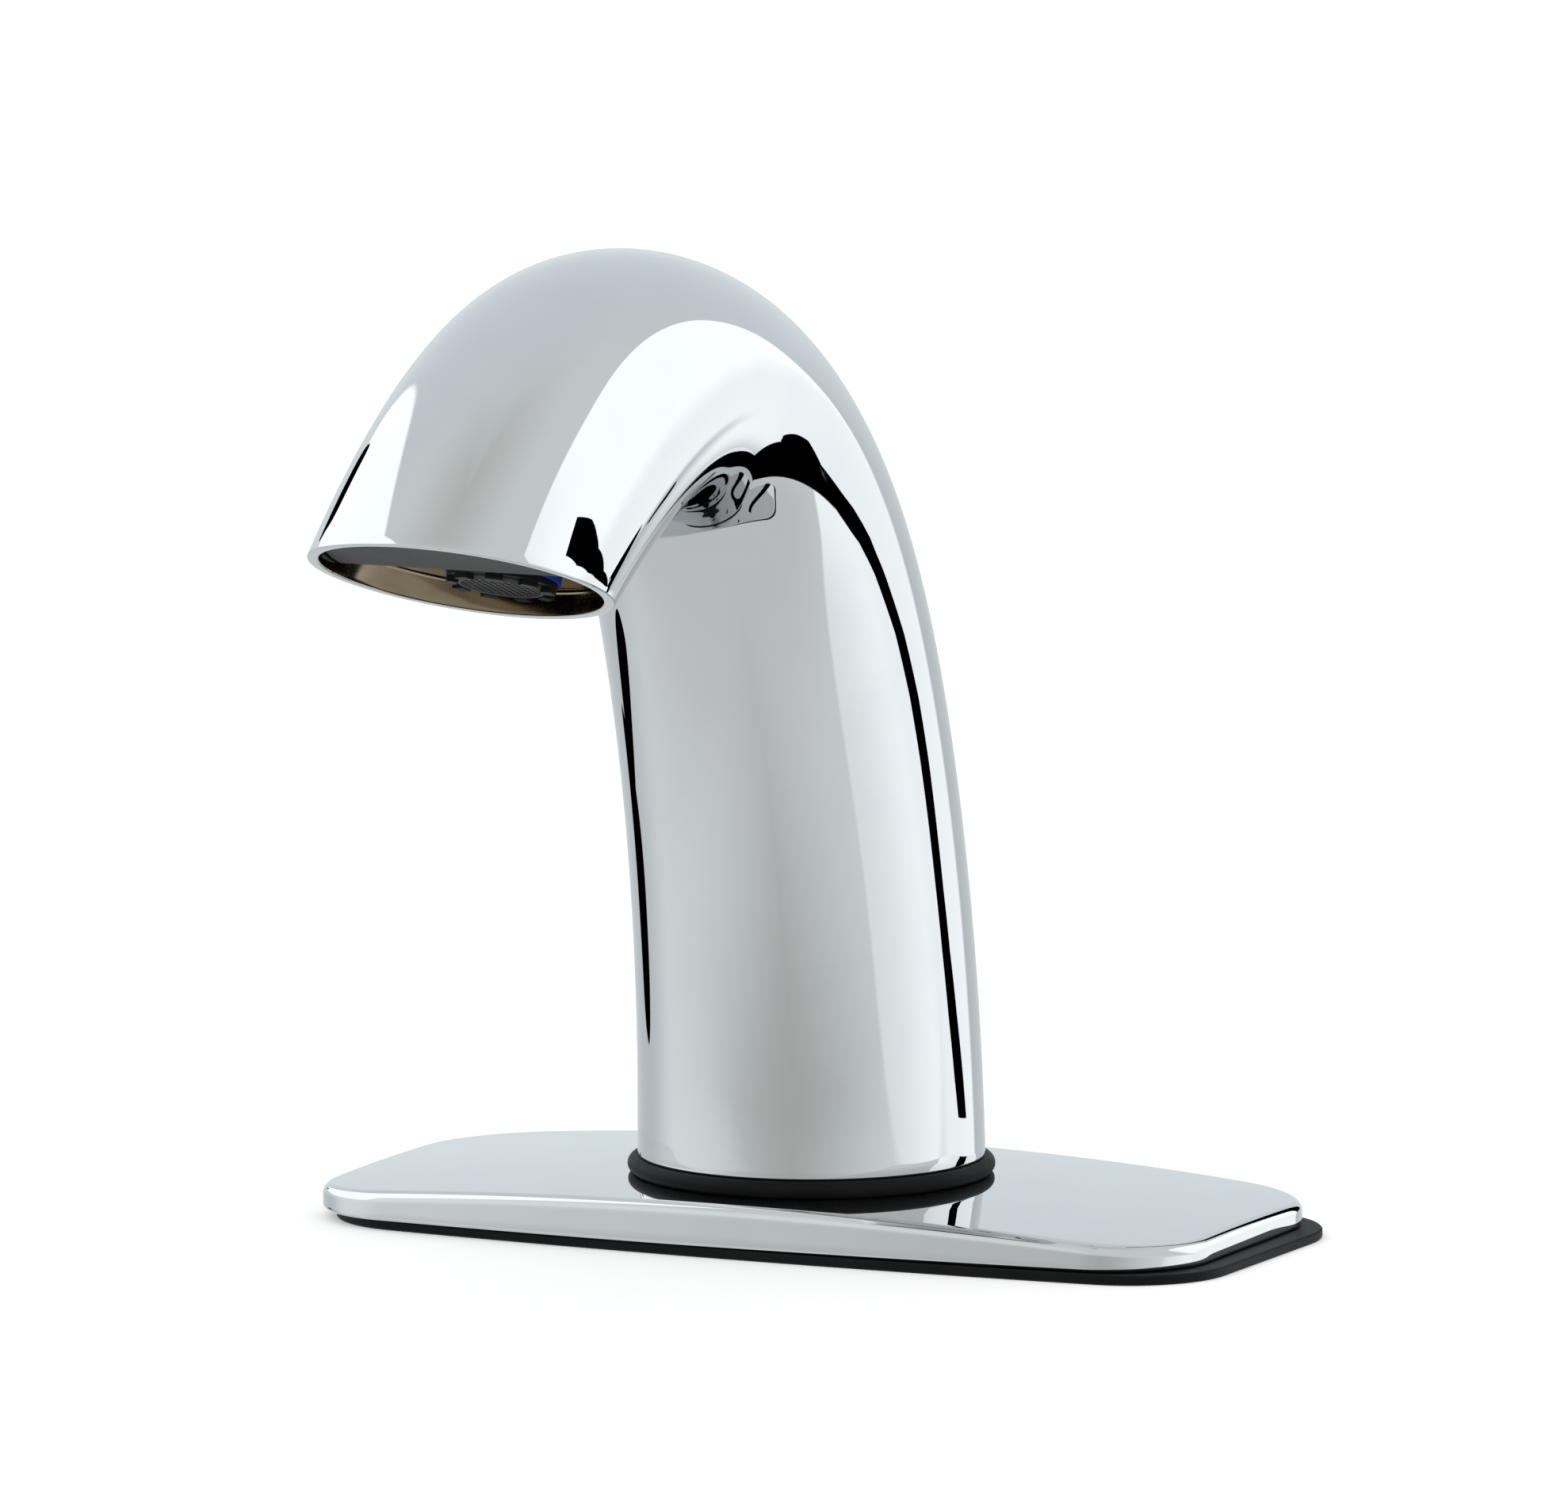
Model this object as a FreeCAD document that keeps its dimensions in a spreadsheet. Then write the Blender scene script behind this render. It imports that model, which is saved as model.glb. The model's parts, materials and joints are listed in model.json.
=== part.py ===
import FreeCAD, Part

# Deck-mounted sensor faucet: chrome spout on a cover plate, with its valve, outlet and sensor inside.
# Millimetres. Z is up, X runs along the cover plate and the spout reaches out towards -Y.
# The origin is on the column's axis, on the deck under the plate gasket.

import math
import os
import re

import Sketcher

Vector = FreeCAD.Vector
Placement = FreeCAD.Placement
Rotation = FreeCAD.Rotation
X_AXIS = Vector(1, 0, 0)
Z_AXIS = Vector(0, 0, 1)

SIZES = {
    # Cover plate and the gasket under it
    "plate_length": 155.0,
    "plate_width": 73.9,
    "plate_end_width": 65.6,
    "plate_corner_radius": 17.0,
    "plate_top": 9.5,
    "plate_crown_radius": 800.0,
    "plate_edge_radius": 1.8,
    "plate_lip": 4.0,
    "plate_skin": 2.6,
    "plate_opening_radius": 22.0,
    "plate_collar": 3.5,
    "gasket_thickness": 1.6,
    "gasket_length": 156.5,
    "gasket_width": 73.9,
    "gasket_end_width": 65.6,
    "gasket_corner_radius": 17.0,
    "gasket_opening_radius": 26.0,
    "gasket_shift": 3.0,
    "gasket_turn": 1.0,
    # Rubber ring between the plate and the spout
    "ring_radius": 29.8,
    "ring_hole_radius": 22.5,
    "ring_edge_radius": 1.2,
    "ring_seat_depth": 0.6,
    "ring_seat_gap": 0.2,
    # Spout: oval sections along a leaning column that turns over into the head
    "spout_base": 11.7,
    "spout_base_radius": 28.2,
    "spout_outlet_half_width": 24.0,
    "spout_outlet_half_depth": 21.9,
    "spout_waist_width": 1.2,
    "spout_waist_depth": 4.0,
    "spout_waist_place": 0.615,
    "spout_waist_span": 0.144,
    "spout_spine_length": 234.4,
    "spout_lean": 1.2,
    "spout_sway": 49.0,
    "spout_crook_turn": 78.1,
    "spout_crook_place": 0.655,
    "spout_crook_span": 0.181,
    "spout_wall": 2.1,
    "outlet_tilt": 19.8,
    # Brass insert that closes the column's foot
    "insert_height": 22.0,
    "insert_gap": 0.35,
    "drill_over": 1.0,
    "stud_radius": 2.5,
    "stud_depth": 12.0,
    "stud_spacing": 24.0,
    "stud_back": 11.0,
    "inlet_radius": 7.48,
    "inlet_left": 7.2,
    "lead_radius": 1.2,
    "lead_gap": 0.1,
    "lead_right": 17.6,
    "lead_front": 3.0,
    "grommet_radius": 2.6,
    "grommet_flange_radius": 3.4,
    "grommet_flange": 1.2,
    # Filter and check valve in the inlet
    "filter_rim": 1.0,
    "filter_thickness": 1.5,
    "filter_hole": 0.9,
    "filter_pitch": 1.5,
    "check_bore_radius": 5.6,
    "check_gap": 0.1,
    "check_seat_height": 2.0,
    "check_seat_hole_radius": 3.0,
    "poppet_radius": 4.2,
    "poppet_head": 1.5,
    "poppet_stem_radius": 1.2,
    "poppet_travel": 2.5,
    "poppet_guide_gap": 0.08,
    "guide_height": 3.0,
    "guide_hole_radius": 0.9,
    "check_spring_radius": 2.2,
    "check_spring_wire": 0.5,
    "check_spring_length": 5.0,
    "check_spring_turns": 4.0,
    # Solenoid valve standing on the insert
    "valve_front": 9.0,
    "valve_radius": 15.5,
    "valve_height": 18.3,
    "valve_tail_width": 16.0,
    "valve_tail_back": 15.5,
    "valve_floor": 5.8,
    "valve_passage_radius": 2.4,
    "valve_inlet_radius": 2.6,
    "chamber_radius": 9.8,
    "chamber_depth": 6.0,
    "chamber_overlap": 0.5,
    "seat_radius": 5.0,
    "seat_drop": 2.5,
    "bonnet_seal_width": 1.2,
    "bonnet_seal_height": 1.0,
    "bonnet_seal_inset": 0.6,
    "bonnet_height": 4.0,
    "bonnet_screw_circle": 13.6,
    "bonnet_screw_radius": 1.25,
    "bonnet_screw_head_radius": 1.8,
    "bonnet_screw_head": 2.0,
    "bonnet_screw_bite": 8.0,
    "screw_gap": 0.1,
    "core_tube_radius": 4.6,
    "core_tube_wall": 0.5,
    "core_tube_flange_radius": 6.5,
    "core_tube_flange": 1.0,
    "core_gap": 0.1,
    "plunger_gap": 0.08,
    "plunger_length": 16.8,
    "plunger_travel": 1.8,
    "plunger_stop_gap": 0.2,
    "plunger_seal_radius": 3.4,
    "plunger_seal_height": 1.7,
    "core_stop_rise": 1.0,
    "plunger_spring_radius": 2.4,
    "plunger_spring_wire": 0.6,
    "plunger_spring_length": 7.0,
    "plunger_spring_turns": 5.0,
    "coil_radius": 10.5,
    "coil_length": 20.0,
    "coil_flange": 1.2,
    "coil_barrel": 1.0,
    "coil_winding_inset": 0.6,
    "coil_gap": 0.15,
    "yoke_thickness": 2.0,
    "yoke_depth": 12.0,
    "yoke_gap": 0.4,
    "nut_across_flats": 12.0,
    "nut_height": 3.0,
    # Water tube from the valve to the outlet
    "tube_radius": 3.2,
    "tube_bore_radius": 2.2,
    "tube_gap": 0.1,
    "tube_back": 11.0,
    "tube_socket_depth": 6.0,
    "tube_rise": 26.0,
    "tube_run_in": 5.0,
    "tube_out": 4.0,
    # Nozzle block and aerator in the outlet
    "block_depth": 4.9,
    "block_height": 9.0,
    "block_gap": 0.15,
    "block_socket_radius": 5.5,
    "block_socket_length": 16.0,
    "head_place": 0.95,
    "aerator_back": 15.5,
    "aerator_recess": 1.9,
    "aerator_radius": 8.8,
    "aerator_thread_radius": 8.25,
    "aerator_thread_length": 5.5,
    "aerator_thread_gap": 0.08,
    "aerator_bore_radius": 7.3,
    "aerator_lip": 0.35,
    "aerator_lip_height": 0.5,
    "aerator_lugs": 9.0,
    "aerator_first_slot": 26.0,
    "aerator_slot_width": 3.3,
    "aerator_slot_depth": 0.9,
    "washer_radius": 9.3,
    "washer_thickness": 1.0,
    "washer_gap": 0.08,
    "screen_gap": 0.1,
    "screen_thickness": 0.6,
    "screen_hole": 0.8,
    "screen_pitch": 1.15,
    "regulator_thickness": 3.0,
    "regulator_hole_radius": 0.7,
    "regulator_ring_radius": 4.6,
    # Sensor in the front of the outlet
    "sensor_reach": 2.0,
    "sensor_recess": 2.0,
    "sensor_window": 1.6,
    "sensor_height": 9.0,
    "sensor_wall": 1.5,
    "sensor_gap": 0.3,
    "board_width": 22.0,
    "board_depth": 4.6,
    "board_thickness": 1.2,
    "diode_radius": 1.5,
    "diode_length": 4.0,
    "diode_spacing": 12.0,
    "lead_exit": 6.0,
    "lead_bite": 3.0,
    "lead_run_out": 14.0,
    "lead_rise": 30.0,
}

doc = FreeCAD.newDocument("SensorFaucet")
sheet = doc.addObject("Spreadsheet::Sheet", "Dims")
for row, (alias, value) in enumerate(SIZES.items(), start=1):
    sheet.set(f"A{row}", alias)
    sheet.set(f"B{row}", str(value))
    sheet.setAlias(f"B{row}", alias)
doc.recompute()

ALIASES = re.compile(r"\b(" + "|".join(SIZES) + r")\b")
nodes = []


def bound(formula):
    """Turn the size names in a formula into references to the sheet."""
    return ALIASES.sub(r"Dims.\1", formula)


def size(alias):
    """Read one size from the sheet as a number."""
    return float(sheet.get(alias))


def node(shape_object, name):
    """Name a finished sub-part."""
    shape_object.Label = name
    nodes.append(shape_object)
    return shape_object


def place(obj, x="0", y="0", z="0"):
    """Bind an object's position to the sheet."""
    for axis, formula in (("x", x), ("y", y), ("z", z)):
        if formula != "0":
            obj.setExpression("Placement.Base." + axis, bound(formula))
    return obj


def cylinder(name, radius, height, x="0", y="0", z="0"):
    """A bound upright cylinder."""
    made = doc.addObject("Part::Cylinder", name)
    made.setExpression("Radius", bound(radius))
    made.setExpression("Height", bound(height))
    return place(made, x, y, z)


def box(name, length, width, height, x="0", y="0", z="0"):
    """A bound box whose corner stands at x, y, z."""
    made = doc.addObject("Part::Box", name)
    made.setExpression("Length", bound(length))
    made.setExpression("Width", bound(width))
    made.setExpression("Height", bound(height))
    return place(made, x, y, z)


def fuse(name, shapes):
    """Join several solids into one."""
    made = doc.addObject("Part::MultiFuse", name)
    made.Shapes = shapes
    made.Refine = True
    return made


def cut(name, base, tools):
    """Take one or several tools out of a base."""
    made = doc.addObject("Part::Cut", name)
    made.Base = base
    made.Tool = tools[0] if len(tools) == 1 else fuse(name + "_tools", tools)
    return made


def coded(name, shape):
    """A document object for a shape that is worked out in code."""
    made = doc.addObject("Part::Feature", name)
    made.Shape = shape
    return made


def origin_plane(body, role):
    """One of a body's own origin planes."""
    return [plane for plane in body.Origin.OriginFeatures if plane.Role == role][0]


def sketch_on(body, role, name):
    """An empty sketch on one of the body's origin planes."""
    sketch = body.newObject("Sketcher::SketchObject", name)
    sketch.AttachmentSupport = [(origin_plane(body, role), "")]
    sketch.MapMode = "FlatFace"
    return sketch


def polygon(sketch, points):
    """A closed polygon whose corners are bound to formulas for their two coordinates."""
    count = len(points)
    for index in range(count):
        start = Vector(index, index * index, 0)
        end = Vector(index + 1, (index + 1) ** 2, 0)
        sketch.addGeometry(Part.LineSegment(start, end), False)
    for index, (across, along) in enumerate(points):
        sketch.addConstraint(Sketcher.Constraint("Coincident", index, 2, (index + 1) % count, 1))
        for kind, formula in (("DistanceX", across), ("DistanceY", along)):
            number = sketch.addConstraint(Sketcher.Constraint(kind, -1, 1, index, 1, 1.0))
            sketch.setExpression(f"Constraints[{number}]", bound(formula))


def turned(name, profile, x="0", y="0", z="0"):
    """A turned body: a closed profile of radius and height, swung once round an upright axis."""
    body = doc.addObject("PartDesign::Body", name)
    sketch = sketch_on(body, "XZ_Plane", name + "_profile")
    polygon(sketch, profile)
    swing = body.newObject("PartDesign::Revolution", name + "_turn")
    swing.Profile = sketch
    swing.ReferenceAxis = (sketch, ["V_Axis"])
    swing.Angle = 360
    return place(body, x, y, z)


def tube_profile(outer, inner, bottom, top):
    """Profile of a plain ring."""
    return [(inner, bottom), (outer, bottom), (outer, top), (inner, top)]


# Spine of the spout

def heading(share):
    """Lean from the vertical, in radians, at a share of the spine's length."""
    span = size("spout_crook_span")
    place_of_crook = size("spout_crook_place")
    step = math.tanh((share - place_of_crook) / span) + math.tanh(place_of_crook / span)
    degrees = size("spout_lean") + size("spout_sway") * share + size("spout_crook_turn") * step / 2
    return math.radians(degrees)


def spine_point(share, steps=160):
    """Point of the spine at a share of its length from the spout's foot."""
    run = size("spout_spine_length") * share / steps
    y, z = 0.0, size("spout_base")
    for index in range(steps):
        lean = heading(share * (index + 0.5) / steps)
        y -= run * math.sin(lean)
        z += run * math.cos(lean)
    return Vector(0, y, z)


def outward(share):
    """Direction across the spine, towards the back of the column and the top of the head."""
    return Vector(0, math.cos(heading(share)), math.sin(heading(share)))


def half_sizes(share, inset):
    """Half width and half depth of the oval section, drawn in by an inset."""
    waist = math.exp(-((share - size("spout_waist_place")) / size("spout_waist_span")) ** 2)
    foot = size("spout_base_radius")
    width = foot + (size("spout_outlet_half_width") - foot) * share - size("spout_waist_width") * waist
    depth = foot + (size("spout_outlet_half_depth") - foot) * share - size("spout_waist_depth") * waist
    return width - inset, depth - inset


def section(share, inset):
    """Closed oval section of the spout across its spine."""
    width, depth = half_sizes(share, inset)
    centre = spine_point(share)
    across = outward(share)
    along = X_AXIS.cross(across)
    frame = FreeCAD.Matrix(
        width, across.x * depth, along.x, centre.x,
        0, across.y * depth, along.y, centre.y,
        0, across.z * depth, along.z, centre.z,
        0, 0, 0, 1)
    ring = Part.Wire([Part.Circle(Vector(0, 0, 0), Z_AXIS, 1).toShape()])
    return ring.transformGeometry(frame)


SECTIONS = 17
FOOT_SHARE = -0.02
OUTLET_ALLOWANCE = 1.35


def past_outlet():
    """Share of the spine at which the sections are clear of the slanted outlet."""
    slant = math.pi - math.radians(size("outlet_tilt")) - heading(1.0)
    reach = size("spout_outlet_half_depth") * math.tan(slant)
    return 1.0 + OUTLET_ALLOWANCE * reach / size("spout_spine_length")


def spout_form(inset):
    """Untrimmed solid of the spout's outside, drawn in by an inset."""
    last = past_outlet()
    shares = [FOOT_SHARE + (last - FOOT_SHARE) * index / (SECTIONS - 1) for index in range(SECTIONS)]
    return Part.makeLoft([section(share, inset) for share in shares], True, False)


# The outlet frame has its origin in the rim's plane, Z up into the head and Y back to the column.
OUTLET = Placement(spine_point(1.0), Rotation(X_AXIS, -size("outlet_tilt")))
ROOM = 4 * size("spout_base_radius")
HEAD_ROOM = 2.2 * size("spout_outlet_half_depth")


def slab(bottom, top, front=-ROOM, back=ROOM):
    """A wide block between two levels, for trimming."""
    return Part.makeBox(2 * ROOM, back - front, top - bottom, Vector(-ROOM, front, bottom))


def in_outlet(shape):
    """A shape of the faucet's frame seen from the outlet frame."""
    moved = shape.copy()
    moved.transformShape(OUTLET.inverse().toMatrix())
    return moved


def make_spout():
    """Chrome shell, hollow from its foot to its slanted outlet."""
    shell = spout_form(0).cut(spout_form(size("spout_wall")))
    below = slab(size("spout_base") - ROOM, size("spout_base"))
    beyond = slab(-HEAD_ROOM, 0, -ROOM, HEAD_ROOM)
    beyond.Placement = OUTLET
    return node(coded("SpoutBody", shell.cut(below).cut(beyond)), "spout_body")


# Cover plate, gasket and ring

def bowed_outline(sketch, length, width, end_width):
    """Oblong with straight ends and bowed long sides, bound to formulas."""
    half = 50.0
    end = 20.0
    bow = 5.0
    radius = (half ** 2 + bow ** 2) / (2 * bow)
    swing = math.asin(half / radius)
    up = math.pi / 2
    lower = Part.Circle(Vector(0, radius - bow - end, 0), Z_AXIS, radius)
    upper = Part.Circle(Vector(0, end + bow - radius, 0), Z_AXIS, radius)
    sketch.addGeometry(Part.LineSegment(Vector(-half, end, 0), Vector(-half, -end, 0)), False)
    sketch.addGeometry(Part.ArcOfCircle(lower, -up - swing, -up + swing), False)
    sketch.addGeometry(Part.LineSegment(Vector(half, -end, 0), Vector(half, end, 0)), False)
    sketch.addGeometry(Part.ArcOfCircle(upper, up - swing, up + swing), False)
    for index in range(4):
        sketch.addConstraint(Sketcher.Constraint("Coincident", index, 2, (index + 1) % 4, 1))
    sketch.addConstraint(Sketcher.Constraint("Symmetric", 0, 1, 0, 2, -1))
    sketch.addConstraint(Sketcher.Constraint("Symmetric", 2, 1, 2, 2, -1))
    sketch.addConstraint(Sketcher.Constraint("Symmetric", 0, 2, 2, 1, -2))
    rise = f"(({width}) - ({end_width})) / 2"
    bends = f"((({length}) / 2) ^ 2 + ({rise}) ^ 2) / (2 * ({rise}))"
    driven = (
        (Sketcher.Constraint("DistanceX", 0, 2, 2, 1, 2 * half), length),
        (Sketcher.Constraint("DistanceY", 2, 1, 2, 2, 2 * end), end_width),
        (Sketcher.Constraint("Radius", 1, radius), bends),
        (Sketcher.Constraint("Radius", 3, radius), bends))
    for constraint, formula in driven:
        number = sketch.addConstraint(constraint)
        sketch.setExpression(f"Constraints[{number}]", bound(formula))


def upright_edges(shape):
    """Names of the straight upright edges of a shape."""
    names = []
    for number, edge in enumerate(shape.Edges, start=1):
        run = edge.Vertexes[-1].Point - edge.Vertexes[0].Point
        if run.Length > 0 and abs(run.z) > 0.99 * edge.Length:
            names.append(f"Edge{number}")
    return names


def padded_outline(name, length, width, end_width, corner, bottom, height):
    """Body of a bowed oblong with rounded corners, standing from a level."""
    body = doc.addObject("PartDesign::Body", name)
    sketch = sketch_on(body, "XY_Plane", name + "_outline")
    sketch.setExpression("AttachmentOffset.Base.z", bound(bottom))
    bowed_outline(sketch, length, width, end_width)
    pad = body.newObject("PartDesign::Pad", name + "_pad")
    pad.Profile = sketch
    pad.setExpression("Length", bound(height))
    doc.recompute()
    corners = body.newObject("PartDesign::Fillet", name + "_corners")
    corners.Base = (pad, upright_edges(pad.Shape))
    corners.setExpression("Radius", bound(corner))
    return body


def make_plate():
    """Domed cover plate, hollow underneath, with a collar round its opening."""
    blank = padded_outline(
        "PlateBlank", "plate_length", "plate_width", "plate_end_width", "plate_corner_radius",
        "gasket_thickness", "plate_top - gasket_thickness")
    dome = doc.addObject("Part::Sphere", "PlateDome")
    dome.setExpression("Radius", bound("plate_crown_radius"))
    place(dome, z="plate_top - plate_crown_radius")
    domed = doc.addObject("Part::Common", "PlateDomed")
    domed.Base = blank
    domed.Tool = dome
    doc.recompute()
    solid = domed.Shape
    rim = [edge for edge in solid.Edges if edge.BoundBox.ZMin > size("gasket_thickness") + 0.1
           and edge.BoundBox.DiagonalLength > size("plate_edge_radius")
           and any(face.Surface.TypeId == "Part::GeomSphere"
                   for face in solid.ancestorsOfType(edge, Part.Face))]
    rounded = coded("PlateRounded", solid.makeFillet(size("plate_edge_radius"), rim))
    hollow = padded_outline(
        "PlateHollow", "plate_length - 2 * plate_lip", "plate_width - 2 * plate_lip",
        "plate_end_width - 2 * plate_lip", "plate_corner_radius - plate_lip", "0", "plate_top")
    under = doc.addObject("Part::Sphere", "PlateUnderside")
    under.setExpression("Radius", bound("plate_crown_radius - plate_skin"))
    place(under, z="plate_top - plate_crown_radius")
    pocket = doc.addObject("Part::Common", "PlatePocket")
    pocket.Base = hollow
    pocket.Tool = under
    collar = cylinder("PlateCollar", "plate_opening_radius + plate_collar", "plate_top")
    pocket_round = cut("PlatePocketRound", pocket, [collar])
    opening = cylinder("PlateOpening", "plate_opening_radius", "2 * plate_top")
    seat = cylinder("PlateSeat", "ring_radius + ring_seat_gap", "plate_top", z="plate_top - ring_seat_depth")
    return node(cut("CoverPlate", rounded, [pocket_round, opening, seat]), "cover_plate")


def make_gasket():
    """Flat rubber gasket, lying a little off the plate's middle."""
    sheet_form = padded_outline(
        "GasketSheet", "gasket_length", "gasket_width", "gasket_end_width", "gasket_corner_radius",
        "0", "gasket_thickness")
    sheet_form.Placement.Rotation = Rotation(Z_AXIS, -size("gasket_turn"))
    place(sheet_form, x="gasket_shift")
    opening = cylinder("GasketOpening", "gasket_opening_radius", "gasket_thickness")
    return node(cut("PlateGasket", sheet_form, [opening]), "plate_gasket")


RING_BOTTOM = "(plate_top - ring_seat_depth)"


def make_ring():
    """Rubber ring with a rounded edge between the plate and the spout."""
    body = turned("BaseRing", tube_profile("ring_radius", "ring_hole_radius", RING_BOTTOM, "spout_base"))
    doc.recompute()
    plain = body.Tip
    outside = (size("ring_hole_radius") + size("ring_radius")) / 2
    edges = [f"Edge{number}" for number, edge in enumerate(plain.Shape.Edges, start=1)
             if edge.Curve.TypeId == "Part::GeomCircle" and edge.Curve.Radius > outside]
    fillet = body.newObject("PartDesign::Fillet", "BaseRing_edge")
    fillet.Base = (plain, edges)
    fillet.setExpression("Radius", bound("ring_edge_radius"))
    return node(body, "base_ring")


# Foot of the column

INSERT_TOP = "(spout_base + insert_height)"
CHECK_STACK = "(filter_thickness + check_seat_height + poppet_head + check_spring_length + guide_height)"
INLET_DEPTH = f"(insert_height - {CHECK_STACK})"
INLET_TOP = f"(spout_base + {INLET_DEPTH})"
INLET_X = "-inlet_left"
INLET_Y = "-valve_front"
LEAD_Y = "-lead_front"
LEAD_BORE = "(lead_radius + lead_gap)"
SCREW_BOTTOM = f"({INSERT_TOP} - bonnet_screw_bite)"
DRILL_FOOT = "(spout_base - drill_over)"
DRILL_THROUGH = "(insert_height + 2 * drill_over)"


def screw_places():
    """Formulas for the four bonnet screws, on a square round the valve's axis."""
    reach = "(bonnet_screw_circle / sqrt(2))"
    return [(f"{along} * {reach}", f"{across} * {reach} - valve_front")
            for along in (-1, 1) for across in (-1, 1)]


def insert_form():
    """Leaning cone inside the column's foot, cut level at the deck's side and on top."""
    base = size("spout_base")
    height = size("insert_height")
    inset = size("spout_wall") + size("insert_gap")
    share = height / size("spout_spine_length")
    low = spine_point(0)
    lean = spine_point(share) - low
    foot = size("spout_base_radius") - inset
    taper = (min(half_sizes(share, inset)) - foot) / height
    over = foot * lean.Length / height * math.tan(heading(share))
    start = low - lean * (over / lean.Length)
    length = lean.Length + 2 * over
    cone = Part.makeCone(foot - taper * over, foot + taper * (length - over), length, start, lean)
    return cone.common(slab(base, base + height))


def make_insert():
    """Brass insert with the studs' threads, the inlet and the lead's hole."""
    blank = coded("InsertBlank", insert_form())
    tools = [
        cylinder("InletPort", "inlet_radius", f"{INLET_DEPTH} + drill_over", INLET_X, INLET_Y, DRILL_FOOT),
        cylinder("CheckBore", "check_bore_radius", DRILL_THROUGH, INLET_X, INLET_Y, DRILL_FOOT),
        cylinder("LeadHole", "grommet_radius", DRILL_THROUGH, "lead_right", LEAD_Y, DRILL_FOOT),
        cylinder("LeadSeat", "grommet_flange_radius", "grommet_flange + drill_over", "lead_right", LEAD_Y,
                 f"{INSERT_TOP} - grommet_flange")]
    for side in (-1, 1):
        tools.append(cylinder("StudHole", "stud_radius", "stud_depth + drill_over",
                              f"{side} * stud_spacing / 2", "stud_back", DRILL_FOOT))
    for x, y in screw_places():
        tools.append(cylinder("InsertScrewHole", "bonnet_screw_radius + screw_gap",
                              "bonnet_screw_bite + drill_over", x, y, SCREW_BOTTOM))
    return node(cut("BaseInsert", blank, tools), "base_insert")


def make_grommet():
    """Flanged rubber grommet that holds the sensor's lead."""
    body = turned("CableGrommet", [
        (LEAD_BORE, "0"), ("grommet_radius", "0"), ("grommet_radius", "insert_height - grommet_flange"),
        ("grommet_flange_radius", "insert_height - grommet_flange"),
        ("grommet_flange_radius", "insert_height"), (LEAD_BORE, "insert_height")],
        "lead_right", LEAD_Y, "spout_base")
    return node(body, "cable_grommet")


def pierced_disc(radius, thickness, hole, pitch, margin, foot=0.0):
    """Flat disc with a square grid of square holes, standing from a level."""
    steps = int(radius / pitch)
    outline = Part.Wire([Part.Circle(Vector(0, 0, foot), Z_AXIS, radius).toShape()])
    gaps = []
    for column in range(-steps, steps + 1):
        for rank in range(-steps, steps + 1):
            x = column * pitch
            y = rank * pitch
            if math.hypot(abs(x) + hole / 2, abs(y) + hole / 2) > radius - margin:
                continue
            corners = [Vector(x + a * hole / 2, y + b * hole / 2, foot)
                       for a, b in ((-1, -1), (1, -1), (1, 1), (-1, 1), (-1, -1))]
            gaps.append(Part.makePolygon(corners))
    face = Part.Face([outline] + gaps, "Part::FaceMakerBullseye")
    return face.extrude(Vector(0, 0, thickness))


CHECK_RADIUS = "(check_bore_radius - check_gap)"
CHECK_FOOT = f"({INLET_TOP} + filter_thickness)"


def make_filter():
    """Round screen at the foot of the check valve's bore."""
    radius = size("check_bore_radius") - size("check_gap")
    disc = pierced_disc(radius, size("filter_thickness"), size("filter_hole"), size("filter_pitch"),
                        size("filter_rim"))
    made = coded("InletFilter", disc)
    place(made, INLET_X, INLET_Y, INLET_TOP)
    return node(made, "inlet_filter")


POPPET_FOOT = f"({CHECK_FOOT} + check_seat_height)"
GUIDE_FOOT = f"({INSERT_TOP} - guide_height)"


def make_check_valve():
    """Seat, sprung poppet and guide of the check valve."""
    seat = turned("CheckSeat", tube_profile(
        CHECK_RADIUS, "check_seat_hole_radius", "0", "check_seat_height"), INLET_X, INLET_Y, CHECK_FOOT)
    node(seat, "check_seat")
    stem_top = "poppet_head + check_spring_length + guide_height - poppet_travel - poppet_guide_gap"
    poppet = turned("CheckPoppet", [
        ("0", "0"), ("poppet_radius", "0"), ("poppet_radius", "poppet_head"),
        ("poppet_stem_radius", "poppet_head"), ("poppet_stem_radius", stem_top), ("0", stem_top)],
        INLET_X, INLET_Y, POPPET_FOOT)
    node(poppet, "check_poppet")
    disc = turned("CheckGuideDisc", tube_profile(
        CHECK_RADIUS, "poppet_stem_radius + poppet_guide_gap", "0", "guide_height"))
    ring = "((check_bore_radius + poppet_stem_radius) / 2)"
    holes = [cylinder("GuideHole", "guide_hole_radius", "guide_height",
                      f"{ring} * cos({turn} deg)", f"{ring} * sin({turn} deg)") for turn in range(0, 360, 60)]
    guide = cut("CheckGuide", disc, holes)
    place(guide, INLET_X, INLET_Y, GUIDE_FOOT)
    node(guide, "check_guide")
    spring = coded("CheckSpring", coil_spring(
        size("check_spring_radius"), size("check_spring_wire"), size("check_spring_length"),
        size("check_spring_turns")))
    place(spring, INLET_X, INLET_Y, f"{POPPET_FOOT} + poppet_head")
    node(spring, "check_spring")


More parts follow.
